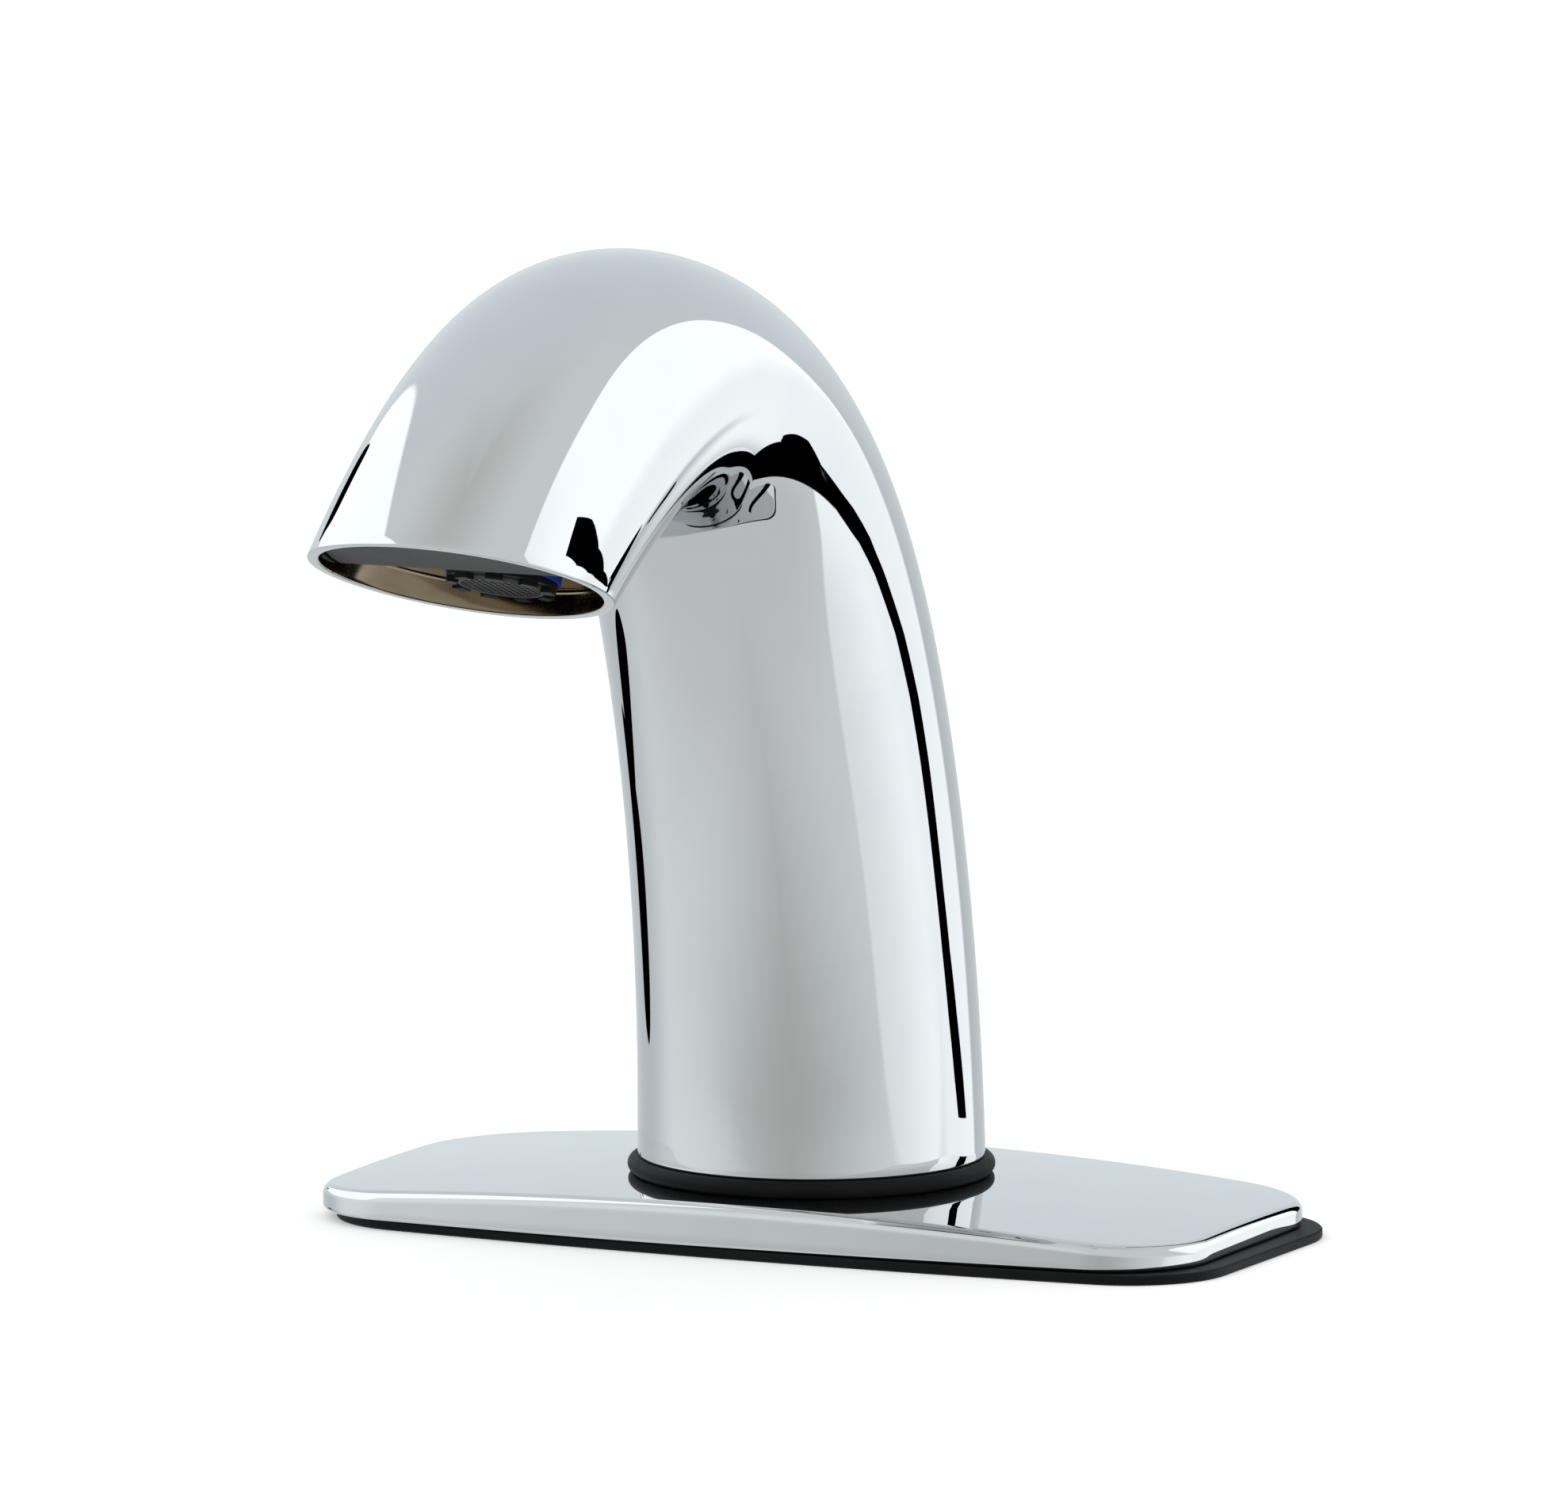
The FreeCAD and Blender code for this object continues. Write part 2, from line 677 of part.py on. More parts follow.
def coil_spring(radius, wire, length, turns):
    """Wound wire of a given free length, as quarter-turn arcs with flat-cut ends."""
    quarters = int(round(turns * 4))
    climb = length / quarters
    lift = wire / 2

    def on_coil(quarter):
        angle = quarter * math.pi / 2
        return Vector(radius * math.cos(angle), radius * math.sin(angle), quarter * climb)

    arcs = [Part.Arc(on_coil(i), on_coil(i + 0.5), on_coil(i + 1)).toShape() for i in range(quarters)]
    path = Part.Wire(arcs)
    start = arcs[0]
    direction = start.tangentAt(start.FirstParameter)
    ring = Part.Wire([Part.Circle(on_coil(0), direction, lift).toShape()])
    wound = path.makePipeShell([ring], True, False)
    return wound.common(slab(0, length))


# Solenoid valve

VALVE_Y = "-valve_front"
VALVE_TOP = f"({INSERT_TOP} + valve_height)"
CHAMBER_FLOOR = f"({VALVE_TOP} - chamber_depth)"
SEAT_TOP = f"({VALVE_TOP} - seat_drop)"
PASSAGE_Z = f"({INSERT_TOP} + valve_floor)"
SEAL_INNER = "(chamber_radius + bonnet_seal_inset)"
SEAL_OUTER = f"({SEAL_INNER} + bonnet_seal_width)"
BONNET_TOP = f"({VALVE_TOP} + bonnet_height)"


def make_valve_body():
    """Block with the inlet, the seat in its chamber and the way to the tube's socket."""
    block = fuse("ValveBlock", [
        cylinder("ValveRound", "valve_radius", "valve_height", "0", VALVE_Y, INSERT_TOP),
        box("ValveTail", "valve_tail_width", "valve_front + valve_tail_back", "valve_height",
            "-valve_tail_width / 2", VALVE_Y, INSERT_TOP)])
    chamber = turned("ValveChamber", tube_profile("chamber_radius", "seat_radius", "0", "chamber_depth"),
                     "0", VALVE_Y, CHAMBER_FLOOR)
    passage = cylinder("ValvePassage", "valve_passage_radius", "valve_front + tube_back",
                       "0", VALVE_Y, PASSAGE_Z)
    passage.Placement.Rotation = Rotation(X_AXIS, -90)
    tools = [
        chamber,
        passage,
        cylinder("SeatTrim", "seat_radius + chamber_depth / 4", "seat_drop", "0", VALVE_Y, SEAT_TOP),
        cylinder("SeatBore", "valve_passage_radius", "valve_height - valve_floor", "0", VALVE_Y, PASSAGE_Z),
        cylinder("ValveInlet", "valve_inlet_radius", "valve_height - chamber_depth + chamber_overlap",
                 INLET_X, INLET_Y, INSERT_TOP),
        cylinder("TubeRiser", "valve_passage_radius", "valve_height - valve_floor",
                 "0", "tube_back", PASSAGE_Z),
        cylinder("TubeSocket", "tube_radius + tube_gap", "tube_socket_depth", "0", "tube_back",
                 f"{VALVE_TOP} - tube_socket_depth"),
        turned("SealGroove", tube_profile(SEAL_OUTER, SEAL_INNER, "0", "bonnet_seal_height"),
               "0", VALVE_Y, f"{VALVE_TOP} - bonnet_seal_height")]
    for x, y in screw_places():
        tools.append(cylinder("ValveScrewHole", "bonnet_screw_radius + screw_gap", "valve_height",
                              x, y, INSERT_TOP))
    node(cut("ValveBody", block, tools), "valve_body")
    seal = turned("BonnetSeal", tube_profile(
        f"{SEAL_OUTER} - screw_gap", f"{SEAL_INNER} + screw_gap", "0", "bonnet_seal_height"),
        "0", VALVE_Y, f"{VALVE_TOP} - bonnet_seal_height")
    node(seal, "bonnet_seal")


def make_bonnet():
    """Round bonnet that holds the core tube, with its four long screws."""
    disc = cylinder("BonnetDisc", "valve_radius", "bonnet_height", "0", VALVE_Y, VALVE_TOP)
    tools = [
        cylinder("BonnetBore", "core_tube_radius + core_gap", "bonnet_height", "0", VALVE_Y, VALVE_TOP),
        cylinder("BonnetFlangeSeat", "core_tube_flange_radius + core_gap", "core_tube_flange", "0", VALVE_Y,
                 VALVE_TOP)]
    screws = []
    length = "(bonnet_screw_bite + valve_height + bonnet_height)"
    for x, y in screw_places():
        tools.append(cylinder("BonnetScrewHole", "bonnet_screw_radius + screw_gap", "bonnet_height", x, y,
                              VALVE_TOP))
        screws.append(turned("BonnetScrew", [
            ("0", "0"), ("bonnet_screw_radius", "0"), ("bonnet_screw_radius", length),
            ("bonnet_screw_head_radius", length),
            ("bonnet_screw_head_radius", f"{length} + bonnet_screw_head"),
            ("0", f"{length} + bonnet_screw_head")], x, y, SCREW_BOTTOM))
    node(cut("Bonnet", disc, tools), "bonnet")
    group = doc.addObject("Part::Compound", "BonnetScrews")
    group.Links = screws
    node(group, "bonnet_screws")


TUBE_BORE = "(core_tube_radius - core_tube_wall)"
PLUNGER_FOOT = f"({SEAT_TOP} + plunger_seal_height)"
PLUNGER_TOP = f"({PLUNGER_FOOT} + plunger_length)"
STOP_FOOT = f"({PLUNGER_TOP} + plunger_travel + plunger_stop_gap)"
COIL_FOOT = f"({BONNET_TOP} + yoke_thickness)"
NUT_FOOT = f"({COIL_FOOT} + coil_length + yoke_thickness)"
STOP_TOP = f"({NUT_FOOT} + core_stop_rise)"
STOP_LENGTH = f"({STOP_TOP} - {STOP_FOOT})"


def make_solenoid_core():
    """Core tube with the plunger, its seal and spring and the fixed stop."""
    cap = f"{STOP_TOP} + core_tube_wall"
    tube = turned("CoreTube", [
        (TUBE_BORE, VALVE_TOP), ("core_tube_flange_radius", VALVE_TOP),
        ("core_tube_flange_radius", f"{VALVE_TOP} + core_tube_flange"),
        ("core_tube_radius", f"{VALVE_TOP} + core_tube_flange"), ("core_tube_radius", cap), ("0", cap),
        ("0", STOP_TOP), (TUBE_BORE, STOP_TOP)], "0", VALVE_Y)
    node(tube, "core_tube")
    plunger = turned("Plunger", [
        ("0", "0"), (f"{TUBE_BORE} - plunger_gap", "0"), (f"{TUBE_BORE} - plunger_gap", "plunger_length"),
        ("0", "plunger_length")], "0", VALVE_Y, PLUNGER_FOOT)
    node(plunger, "plunger")
    seal = turned("PlungerSeal", [
        ("0", "0"), ("plunger_seal_radius", "0"), ("plunger_seal_radius", "plunger_seal_height"),
        ("0", "plunger_seal_height")], "0", VALVE_Y, SEAT_TOP)
    node(seal, "plunger_seal")
    room = "(plunger_spring_length - plunger_travel - plunger_stop_gap)"
    well = "(plunger_spring_radius + plunger_spring_wire)"
    stop = turned("CoreStop", [
        (well, "0"), (f"{TUBE_BORE} - core_gap", "0"), (f"{TUBE_BORE} - core_gap", STOP_LENGTH),
        ("0", STOP_LENGTH), ("0", room), (well, room)], "0", VALVE_Y, STOP_FOOT)
    node(stop, "core_stop")
    spring = coded("PlungerSpring", coil_spring(
        size("plunger_spring_radius"), size("plunger_spring_wire"), size("plunger_spring_length"),
        size("plunger_spring_turns")))
    place(spring, "0", VALVE_Y, PLUNGER_TOP)
    node(spring, "plunger_spring")


COIL_BORE = "(core_tube_radius + coil_gap)"
COIL_BARREL = f"({COIL_BORE} + coil_barrel)"


def make_coil():
    """Bobbin, winding, steel yoke and the nut that holds them on the core tube."""
    high = "(coil_length - coil_flange)"
    bobbin = turned("CoilBobbin", [
        (COIL_BORE, "0"), ("coil_radius", "0"), ("coil_radius", "coil_flange"), (COIL_BARREL, "coil_flange"),
        (COIL_BARREL, high), ("coil_radius", high), ("coil_radius", "coil_length"),
        (COIL_BORE, "coil_length")],
        "0", VALVE_Y, COIL_FOOT)
    node(bobbin, "coil_bobbin")
    winding = turned("CoilWinding", tube_profile(
        "coil_radius - coil_winding_inset", COIL_BARREL, "coil_flange", high), "0", VALVE_Y, COIL_FOOT)
    node(winding, "coil_winding")
    inner = "(coil_radius + yoke_gap)"
    outer = f"({inner} + yoke_thickness)"
    frame = box("YokeFrame", f"2 * {outer}", "yoke_depth", "coil_length + 2 * yoke_thickness",
                f"-{outer}", f"{VALVE_Y} - yoke_depth / 2", BONNET_TOP)
    window = box("YokeWindow", f"2 * {inner}", "2 * yoke_depth", "coil_length",
                 f"-{inner}", f"{VALVE_Y} - yoke_depth", COIL_FOOT)
    bore = cylinder("YokeBore", COIL_BORE, "coil_length + 2 * yoke_thickness", "0", VALVE_Y, BONNET_TOP)
    node(cut("CoilYoke", frame, [window, bore]), "coil_yoke")
    prism = doc.addObject("Part::Prism", "NutPrism")
    prism.Polygon = 6
    prism.setExpression("Circumradius", bound("nut_across_flats / sqrt(3)"))
    prism.setExpression("Height", bound("nut_height"))
    place(prism, "0", VALVE_Y, NUT_FOOT)
    thread = cylinder("NutBore", "core_tube_radius + core_gap", "nut_height", "0", VALVE_Y, NUT_FOOT)
    node(cut("CoilNut", prism, [thread]), "coil_nut")


# Routes inside the spout

def rounded_path(points):
    """Straight runs joined by tangent arcs, each as large as its two runs allow."""
    edges = []
    last = points[0]
    for before, corner, after in zip(points, points[1:], points[2:]):
        inward = (before - corner).normalize()
        onward = (after - corner).normalize()
        turn = math.pi - inward.getAngle(onward)
        trim = 0.45 * min((before - corner).Length, (after - corner).Length)
        radius = trim / math.tan(turn / 2)
        middle = (inward + onward).normalize()
        deep = radius / math.cos(turn / 2) - radius
        enter = corner + inward * trim
        leave = corner + onward * trim
        edges.append(Part.LineSegment(last, enter).toShape())
        edges.append(Part.Arc(enter, corner + middle * deep, leave).toShape())
        last = leave
    edges.append(Part.LineSegment(last, points[-1]).toShape())
    return Part.Wire(edges)


def rod_along(path, radius):
    """Round rod along a path."""
    start = path.OrderedEdges[0]
    ring = Part.Circle(start.valueAt(start.FirstParameter), start.tangentAt(start.FirstParameter), radius)
    return path.makePipeShell([Part.Wire([ring.toShape()])], True, False)


def beside_spine(share, right, out):
    """Point beside the spine."""
    return spine_point(share) + X_AXIS * right + outward(share) * out


TUBE_SHARES = (0.40, 0.50, 0.60, 0.70)
LEAD_SHARES = (0.78, 0.64, 0.50, 0.36, 0.24)


def beside_tube(share):
    """Point of the water tube's route, which nears the spine as it rises."""
    first = TUBE_SHARES[0]
    last = TUBE_SHARES[-1]
    risen = (share - first) / (last - first)
    return beside_spine(share, 0, size("tube_back") + (size("tube_out") - size("tube_back")) * risen)


def beside_lead(share):
    """Point of the sensor lead's route, which swings in from the column's side to the head."""
    swung = ((share - LEAD_SHARES[-1]) / (size("head_place") - LEAD_SHARES[-1])) ** 2
    return beside_spine(share, size("lead_right") + (size("lead_exit") - size("lead_right")) * swung, 0)


def along_head(point):
    """Frame at a point of the outlet frame, with its Z back along the spine of the head."""
    lean = math.degrees(heading(size("head_place"))) - 180
    return Placement(OUTLET.multVec(point), Rotation(X_AXIS, lean))


def socket_frame():
    """Frame of the block's tube socket, with its foot above the aerator."""
    return along_head(Vector(0, size("aerator_back"), size("block_depth") + size("aerator_thread_length")))


def lead_frame():
    """Frame of the lead's way out of the sensor housing."""
    top = size("sensor_recess") + size("sensor_window") + size("sensor_height")
    return along_head(Vector(size("lead_exit"), size("sensor_reach") - size("sensor_wall"), top))


def make_water_tube():
    """Tube from the valve's socket along the back of the column to the nozzle block."""
    valve_top = size("spout_base") + size("insert_height") + size("valve_height")
    foot = Vector(0, size("tube_back"), valve_top - size("tube_socket_depth"))
    socket = socket_frame()
    mouth = socket.multVec(Vector(0, 0, size("block_socket_length") - size("tube_socket_depth")))
    clear = socket.multVec(Vector(0, 0, size("block_socket_length") + size("tube_run_in")))
    risen = foot + Vector(0, 0, size("tube_rise"))
    path = rounded_path([foot, risen] + [beside_tube(share) for share in TUBE_SHARES] + [clear, mouth])
    wall = rod_along(path, size("tube_radius")).cut(rod_along(path, size("tube_bore_radius")))
    return node(coded("WaterTube", wall), "water_tube")


def make_sensor_cable():
    """Sensor lead from its housing, past the coil, to the grommet in the foot."""
    out = lead_frame()
    foot = Vector(size("lead_right"), -size("lead_front"), size("spout_base"))
    bitten = out.multVec(Vector(0, 0, -size("lead_bite")))
    free = out.multVec(Vector(0, 0, size("lead_run_out")))
    risen = foot + Vector(0, 0, size("lead_rise"))
    path = rounded_path([bitten, free] + [beside_lead(share) for share in LEAD_SHARES] + [risen, foot])
    return node(coded("SensorCable", rod_along(path, size("lead_radius"))), "sensor_cable")


# Outlet: everything here is made in the outlet frame and placed by it

THREAD_TOP = "(block_depth + aerator_thread_length)"


def bore_form(gap):
    """The spout's inside in the outlet frame, drawn in by a gap."""
    return in_outlet(spout_form(size("spout_wall") + gap))


def make_nozzle_block():
    """Block across the head with the aerator's thread and the tube's slanted socket."""
    depth = size("block_depth")
    front = size("sensor_reach") + size("sensor_gap")
    slanted = OUTLET.inverse().multiply(socket_frame())
    boss = cylinder("BlockBoss", "block_socket_radius", "block_socket_length")
    way = cylinder("BlockWay", "tube_bore_radius", "block_socket_length")
    socket = cylinder("BlockSocket", "tube_radius + tube_gap", "tube_socket_depth")
    socket_foot = Vector(0, 0, size("block_socket_length") - size("tube_socket_depth"))
    for piece, foot in ((boss, Vector()), (way, Vector()), (socket, socket_foot)):
        piece.Placement = slanted.multiply(Placement(foot, Rotation()))
    form = bore_form(size("block_gap")).common(slab(depth, depth + size("block_height"), front, HEAD_ROOM))
    blank = fuse("BlockBlank", [coded("BlockForm", form), boss])
    thread = cylinder("BlockThread", "aerator_thread_radius + aerator_thread_gap",
                      "aerator_thread_length + washer_gap", "0", "aerator_back", "block_depth")
    notch = cylinder("BlockLeadNotch", f"{LEAD_BORE} + sensor_gap", "3 * block_height")
    notch.Placement = OUTLET.inverse().multiply(lead_frame())
    made = cut("NozzleBlock", blank, [thread, way, socket, notch])
    made.Placement = OUTLET
    return node(made, "nozzle_block")


def at_aerator(made, name):
    """Place a piece that is turned round the aerator's axis."""
    made.Placement = OUTLET.multiply(Placement(Vector(0, size("aerator_back"), 0), Rotation()))
    return node(made, name)


def make_aerator():
    """Castellated housing with its screen, flow regulator and washer."""
    collar_top = "(block_depth - washer_thickness)"
    lip_top = "(aerator_recess + aerator_lip_height)"
    lip = "(aerator_bore_radius - aerator_lip)"
    form = turned("AeratorForm", [
        (lip, "aerator_recess"), ("aerator_radius", "aerator_recess"), ("aerator_radius", collar_top),
        ("aerator_thread_radius", collar_top), ("aerator_thread_radius", THREAD_TOP),
        ("aerator_bore_radius", THREAD_TOP), ("aerator_bore_radius", lip_top), (lip, lip_top)])
    count = int(size("aerator_lugs"))
    slots = []
    for index in range(count):
        slot = box("CrownSlot", "aerator_radius", "aerator_slot_width", "aerator_slot_depth",
                   "0", "-aerator_slot_width / 2", "aerator_recess")
        ray = doc.addObject("Part::Compound", "CrownSlotTurned")
        ray.Links = [slot]
        turn = size("aerator_first_slot") + 360.0 * index / count
        ray.Placement = Placement(Vector(0, 0, 0), Rotation(Z_AXIS, turn))
        slots.append(ray)
    at_aerator(cut("AeratorHousing", form, slots), "aerator_housing")
    washer = turned("AeratorWasher", tube_profile(
        "washer_radius", "aerator_thread_radius + washer_gap", collar_top, "block_depth"))
    at_aerator(washer, "aerator_washer")
    radius = size("aerator_bore_radius") - size("screen_gap")
    mesh = pierced_disc(radius, size("screen_thickness"), size("screen_hole"), size("screen_pitch"),
                        size("aerator_lip"), size("aerator_recess") + size("aerator_lip_height"))
    at_aerator(coded("AeratorScreen", mesh), "aerator_screen")
    foot = f"({THREAD_TOP} - regulator_thickness)"
    disc = cylinder("RegulatorDisc", "aerator_bore_radius - screen_gap", "regulator_thickness",
                    "0", "0", foot)
    holes = [cylinder("RegulatorHole", "regulator_hole_radius", "regulator_thickness",
                      f"regulator_ring_radius * cos({turn} deg)",
                      f"regulator_ring_radius * sin({turn} deg)", foot)
             for turn in range(0, 360, 45)]
    at_aerator(cut("FlowRegulator", disc, holes), "flow_regulator")


WINDOW_TOP = "(sensor_recess + sensor_window)"
BOARD_FOOT = f"({WINDOW_TOP} + diode_length)"
BOARD_FRONT = "(sensor_wall + board_depth - sensor_reach)"


def make_sensor():
    """Smoked window, housing, board and the pair of infrared diodes."""
    recess = size("sensor_recess")
    glass = recess + size("sensor_window")
    back = size("sensor_reach")
    form = bore_form(size("block_gap"))
    window = coded("SensorWindow", form.common(slab(recess, glass, -ROOM, back)))
    window.Placement = OUTLET
    node(window, "sensor_window")
    shell = coded("SensorShell", form.common(slab(glass, glass + size("sensor_height"), -ROOM, back)))
    pocket = box("SensorPocket", "board_width + 2 * sensor_gap", "board_depth + sensor_gap",
                 "diode_length + board_thickness + sensor_gap", "-board_width / 2 - sensor_gap",
                 f"-{BOARD_FRONT} - sensor_gap / 2", WINDOW_TOP)
    lead = cylinder("SensorLeadHole", LEAD_BORE, "2 * sensor_height")
    bite = Placement(Vector(0, 0, -size("lead_bite")), Rotation())
    lead.Placement = OUTLET.inverse().multiply(lead_frame()).multiply(bite)
    housing = cut("SensorHousing", shell, [pocket, lead])
    housing.Placement = OUTLET
    node(housing, "sensor_housing")
    board = box("SensorBoard", "board_width", "board_depth", "board_thickness", "-board_width / 2",
                f"-{BOARD_FRONT}", BOARD_FOOT)
    carried = doc.addObject("Part::Compound", "SensorBoardPlaced")
    carried.Links = [board]
    carried.Placement = OUTLET
    node(carried, "sensor_board")
    for side, name in ((-1, "ir_emitter"), (1, "ir_receiver")):
        diode = turned(name + "_form", [
            ("0", "0"), ("diode_radius", "0"), ("diode_radius", "diode_length"), ("0", "diode_length")])
        seat = Vector(side * size("diode_spacing") / 2,
                      size("sensor_reach") - size("sensor_wall") - size("board_depth") / 2, glass)
        diode.Placement = OUTLET.multiply(Placement(seat, Rotation()))
        node(diode, name)


make_spout()
make_plate()
make_gasket()
make_ring()
make_insert()
make_grommet()
make_filter()
make_check_valve()
make_valve_body()
make_bonnet()
make_solenoid_core()
make_coil()
make_water_tube()
make_nozzle_block()
make_aerator()
make_sensor()
make_sensor_cable()
doc.recompute()

for obj in doc.Objects:
    if "Invalid" in obj.State or "Error" in obj.State:
        raise RuntimeError(f"{obj.Name} failed: {obj.State}")
for obj in nodes:
    if obj.Shape.isNull() or not obj.Shape.isValid():
        raise RuntimeError(f"{obj.Label} has no valid shape")

os.makedirs("parts", exist_ok=True)
for obj in nodes:
    obj.Shape.exportStep(os.path.join("parts", obj.Label + ".step"))
    shape = obj.Shape
    print(f"{obj.Label}: {len(shape.Solids)} solid, {shape.Volume / 1000:.3f} cm3")
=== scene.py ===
import json
import math

import bmesh
import bpy
import numpy as np
from mathutils import Matrix, Vector


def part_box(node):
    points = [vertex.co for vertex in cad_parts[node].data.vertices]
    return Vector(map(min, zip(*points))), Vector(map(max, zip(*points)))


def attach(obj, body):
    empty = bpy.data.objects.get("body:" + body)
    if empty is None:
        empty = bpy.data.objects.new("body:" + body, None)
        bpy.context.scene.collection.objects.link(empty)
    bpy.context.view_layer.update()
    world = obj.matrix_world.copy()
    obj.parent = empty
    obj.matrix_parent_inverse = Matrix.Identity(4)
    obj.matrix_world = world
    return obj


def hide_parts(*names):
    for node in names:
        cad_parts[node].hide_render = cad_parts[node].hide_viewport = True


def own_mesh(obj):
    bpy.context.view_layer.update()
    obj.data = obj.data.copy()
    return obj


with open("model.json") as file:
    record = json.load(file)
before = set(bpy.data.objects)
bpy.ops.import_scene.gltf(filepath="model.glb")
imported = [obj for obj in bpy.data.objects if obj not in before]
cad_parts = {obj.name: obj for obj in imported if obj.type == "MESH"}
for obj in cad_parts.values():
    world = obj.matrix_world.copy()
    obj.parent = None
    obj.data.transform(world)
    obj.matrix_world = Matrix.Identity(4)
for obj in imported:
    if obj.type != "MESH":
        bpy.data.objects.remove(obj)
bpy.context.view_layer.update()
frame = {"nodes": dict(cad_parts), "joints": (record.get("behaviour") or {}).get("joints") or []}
nodes = frame["nodes"]
MM = 0.001


# Plate gasket
# A flat sheet of black rubber, die-cut to the plate's outline and laid loose on the deck.
# It lies a little to the right of the plate and slightly turned, so its edge shows there.

class Shade:
    """A socket of a node tree that takes part in arithmetic, so that shader maths reads as maths."""

    def __init__(self, tree, socket=None):
        self.tree = tree
        self.socket = socket

    def add(self, kind, settings=None, inputs=None, output=0):
        """Add a node by type, with its settings and the value or link of each socket."""
        made = self.tree.nodes.new(kind)
        for name, value in (settings or {}).items():
            setattr(made, name, value)
        for name, value in (inputs or {}).items():
            if isinstance(value, Shade):
                self.tree.links.new(value.socket, made.inputs[name])
            else:
                made.inputs[name].default_value = value
        return Shade(self.tree, made.outputs[output])

    def maths(self, operation, *values):
        """A Math node of any operation."""
        return self.add("ShaderNodeMath", {"operation": operation}, dict(enumerate(values)))

    def __add__(self, other):
        return self.maths("ADD", self, other)

    def __radd__(self, other):
        return self.maths("ADD", other, self)

    def __sub__(self, other):
        return self.maths("SUBTRACT", self, other)

    def __rsub__(self, other):
        return self.maths("SUBTRACT", other, self)

    def __mul__(self, other):
        return self.maths("MULTIPLY", self, other)

    def __rmul__(self, other):
        return self.maths("MULTIPLY", other, self)

    def __truediv__(self, other):
        return self.maths("DIVIDE", self, other)

    def rise(self, low, high):
        """0 below low, 1 above high, with a soft step between."""
        return self.add("ShaderNodeMapRange", {"interpolation_type": "SMOOTHSTEP"},
                        {"Value": self, "From Min": low, "From Max": high})

    def blend(self, first, second):
        """A colour between two, with this value as the share of the second."""
        return self.add("ShaderNodeMix", {"data_type": "RGBA"}, {0: self, 6: first, 7: second}, output=2)

    def noise(self, scale, detail, stretch=(1.0, 1.0, 1.0)):
        """Cloudy noise on the object's own coordinates."""
        place = self.add("ShaderNodeTexCoord", output="Object")
        moved = self.add("ShaderNodeMapping", inputs={"Vector": place, "Scale": stretch})
        return self.add("ShaderNodeTexNoise", inputs={"Vector": moved, "Scale": scale, "Detail": detail})

    def bump(self, height, strength, distance):
        """Surface normal raised by a height."""
        return self.add("ShaderNodeBump", inputs={
            "Height": height, "Strength": strength, "Distance": distance})


def finish_of(name, **constants):
    """A new material with constant shader values, and its tree."""
    material = bpy.data.materials.new(name)
    material.use_nodes = True
    shader = material.node_tree.nodes["Principled BSDF"]
    for socket, value in constants.items():
        shader.inputs[socket.replace("_", " ")].default_value = value
    return material, Shade(material.node_tree)


def feed(material, **varying):
    """Link what changes over the surface to the material's shader."""
    shader = material.node_tree.nodes["Principled BSDF"]
    for socket, value in varying.items():
        material.node_tree.links.new(value.socket, shader.inputs[socket.replace("_", " ")])
    return material


def rubber(name, tone, worn_tone, grain):
    """Matte moulded rubber: fine grain, with a little pale bloom in patches."""
    material, tree = finish_of(name, Specular_IOR_Level=0.12)
    bloom = tree.noise(60.0, 4.0).rise(0.45, 0.75)
    fine = tree.noise(grain, 2.0)
    return feed(material, Base_Color=bloom.blend(tone, worn_tone), Roughness=0.5 + bloom * 0.12 + fine * 0.1,
                Normal=tree.bump(fine, 0.25, 0.05 * MM))


SMOOTH_LIMIT = math.radians(38)


def strip(form, row, after):
    """Faces between two closed rows of points."""
    for step in range(len(row)):
        beside = (step + 1) % len(row)
        form.faces.new((row[step], row[beside], after[beside], after[step]))


def mesh_of(name, form):
    """The mesh of a built form, with its normals outward."""
    bmesh.ops.recalc_face_normals(form, faces=form.faces)
    mesh = bpy.data.meshes.new(name)
    form.to_mesh(mesh)
    form.free()
    return mesh


def in_scene(name, data):
    """A new object of the scene."""
    made = bpy.data.objects.new(name, data)
    bpy.context.collection.objects.link(made)
    return made


def piece_of(name, mesh, material):
    """A smooth piece with a finish, sharp only at its hard edges."""
    mesh.shade_smooth()
    mesh.set_sharp_from_angle(angle=SMOOTH_LIMIT)
    mesh.materials.append(material)
    return in_scene(name, mesh)


def closed_loops(name, loops, material):
    """A ring-shaped closed surface: loops joined each to the next, and the last to the first."""
    form = bmesh.new()
    rows = [[form.verts.new(point) for point in loop] for loop in loops]
    for row, after in zip(rows, rows[1:] + rows[:1]):
        strip(form, row, after)
    return piece_of(name, mesh_of(name, form), material)


END_STEPS = 10
CORNER_STEPS = 22
SIDE_STEPS = 60


def oblong(length, width, end_width, corner, inset):
    """Loop of an oblong with straight ends, round corners and bowed long sides, drawn in by an inset."""
    rise = (width - end_width) / 2
    bow = ((length / 2) ** 2 + rise ** 2) / (2 * rise)
    drop = bow - width / 2
    corner_x = length / 2 - corner
    corner_y = math.sqrt((bow - corner) ** 2 - corner_x ** 2) - drop
    meet = math.atan2(corner_y + drop, corner_x)
    quarter = [(length / 2 - inset, corner_y * step / END_STEPS) for step in range(END_STEPS)]
    for step in range(CORNER_STEPS):
        angle = meet * step / CORNER_STEPS
        reach = corner - inset
        quarter.append((corner_x + reach * math.cos(angle), corner_y + reach * math.sin(angle)))
    for step in range(SIDE_STEPS + 1):
        angle = meet + (math.pi / 2 - meet) * step / SIDE_STEPS
        quarter.append(((bow - inset) * math.cos(angle), (bow - inset) * math.sin(angle) - drop))
    loop = quarter[:-1] + [(-x, y) for x, y in quarter[:0:-1]]
    return loop + [(-x, -y) for x, y in loop]


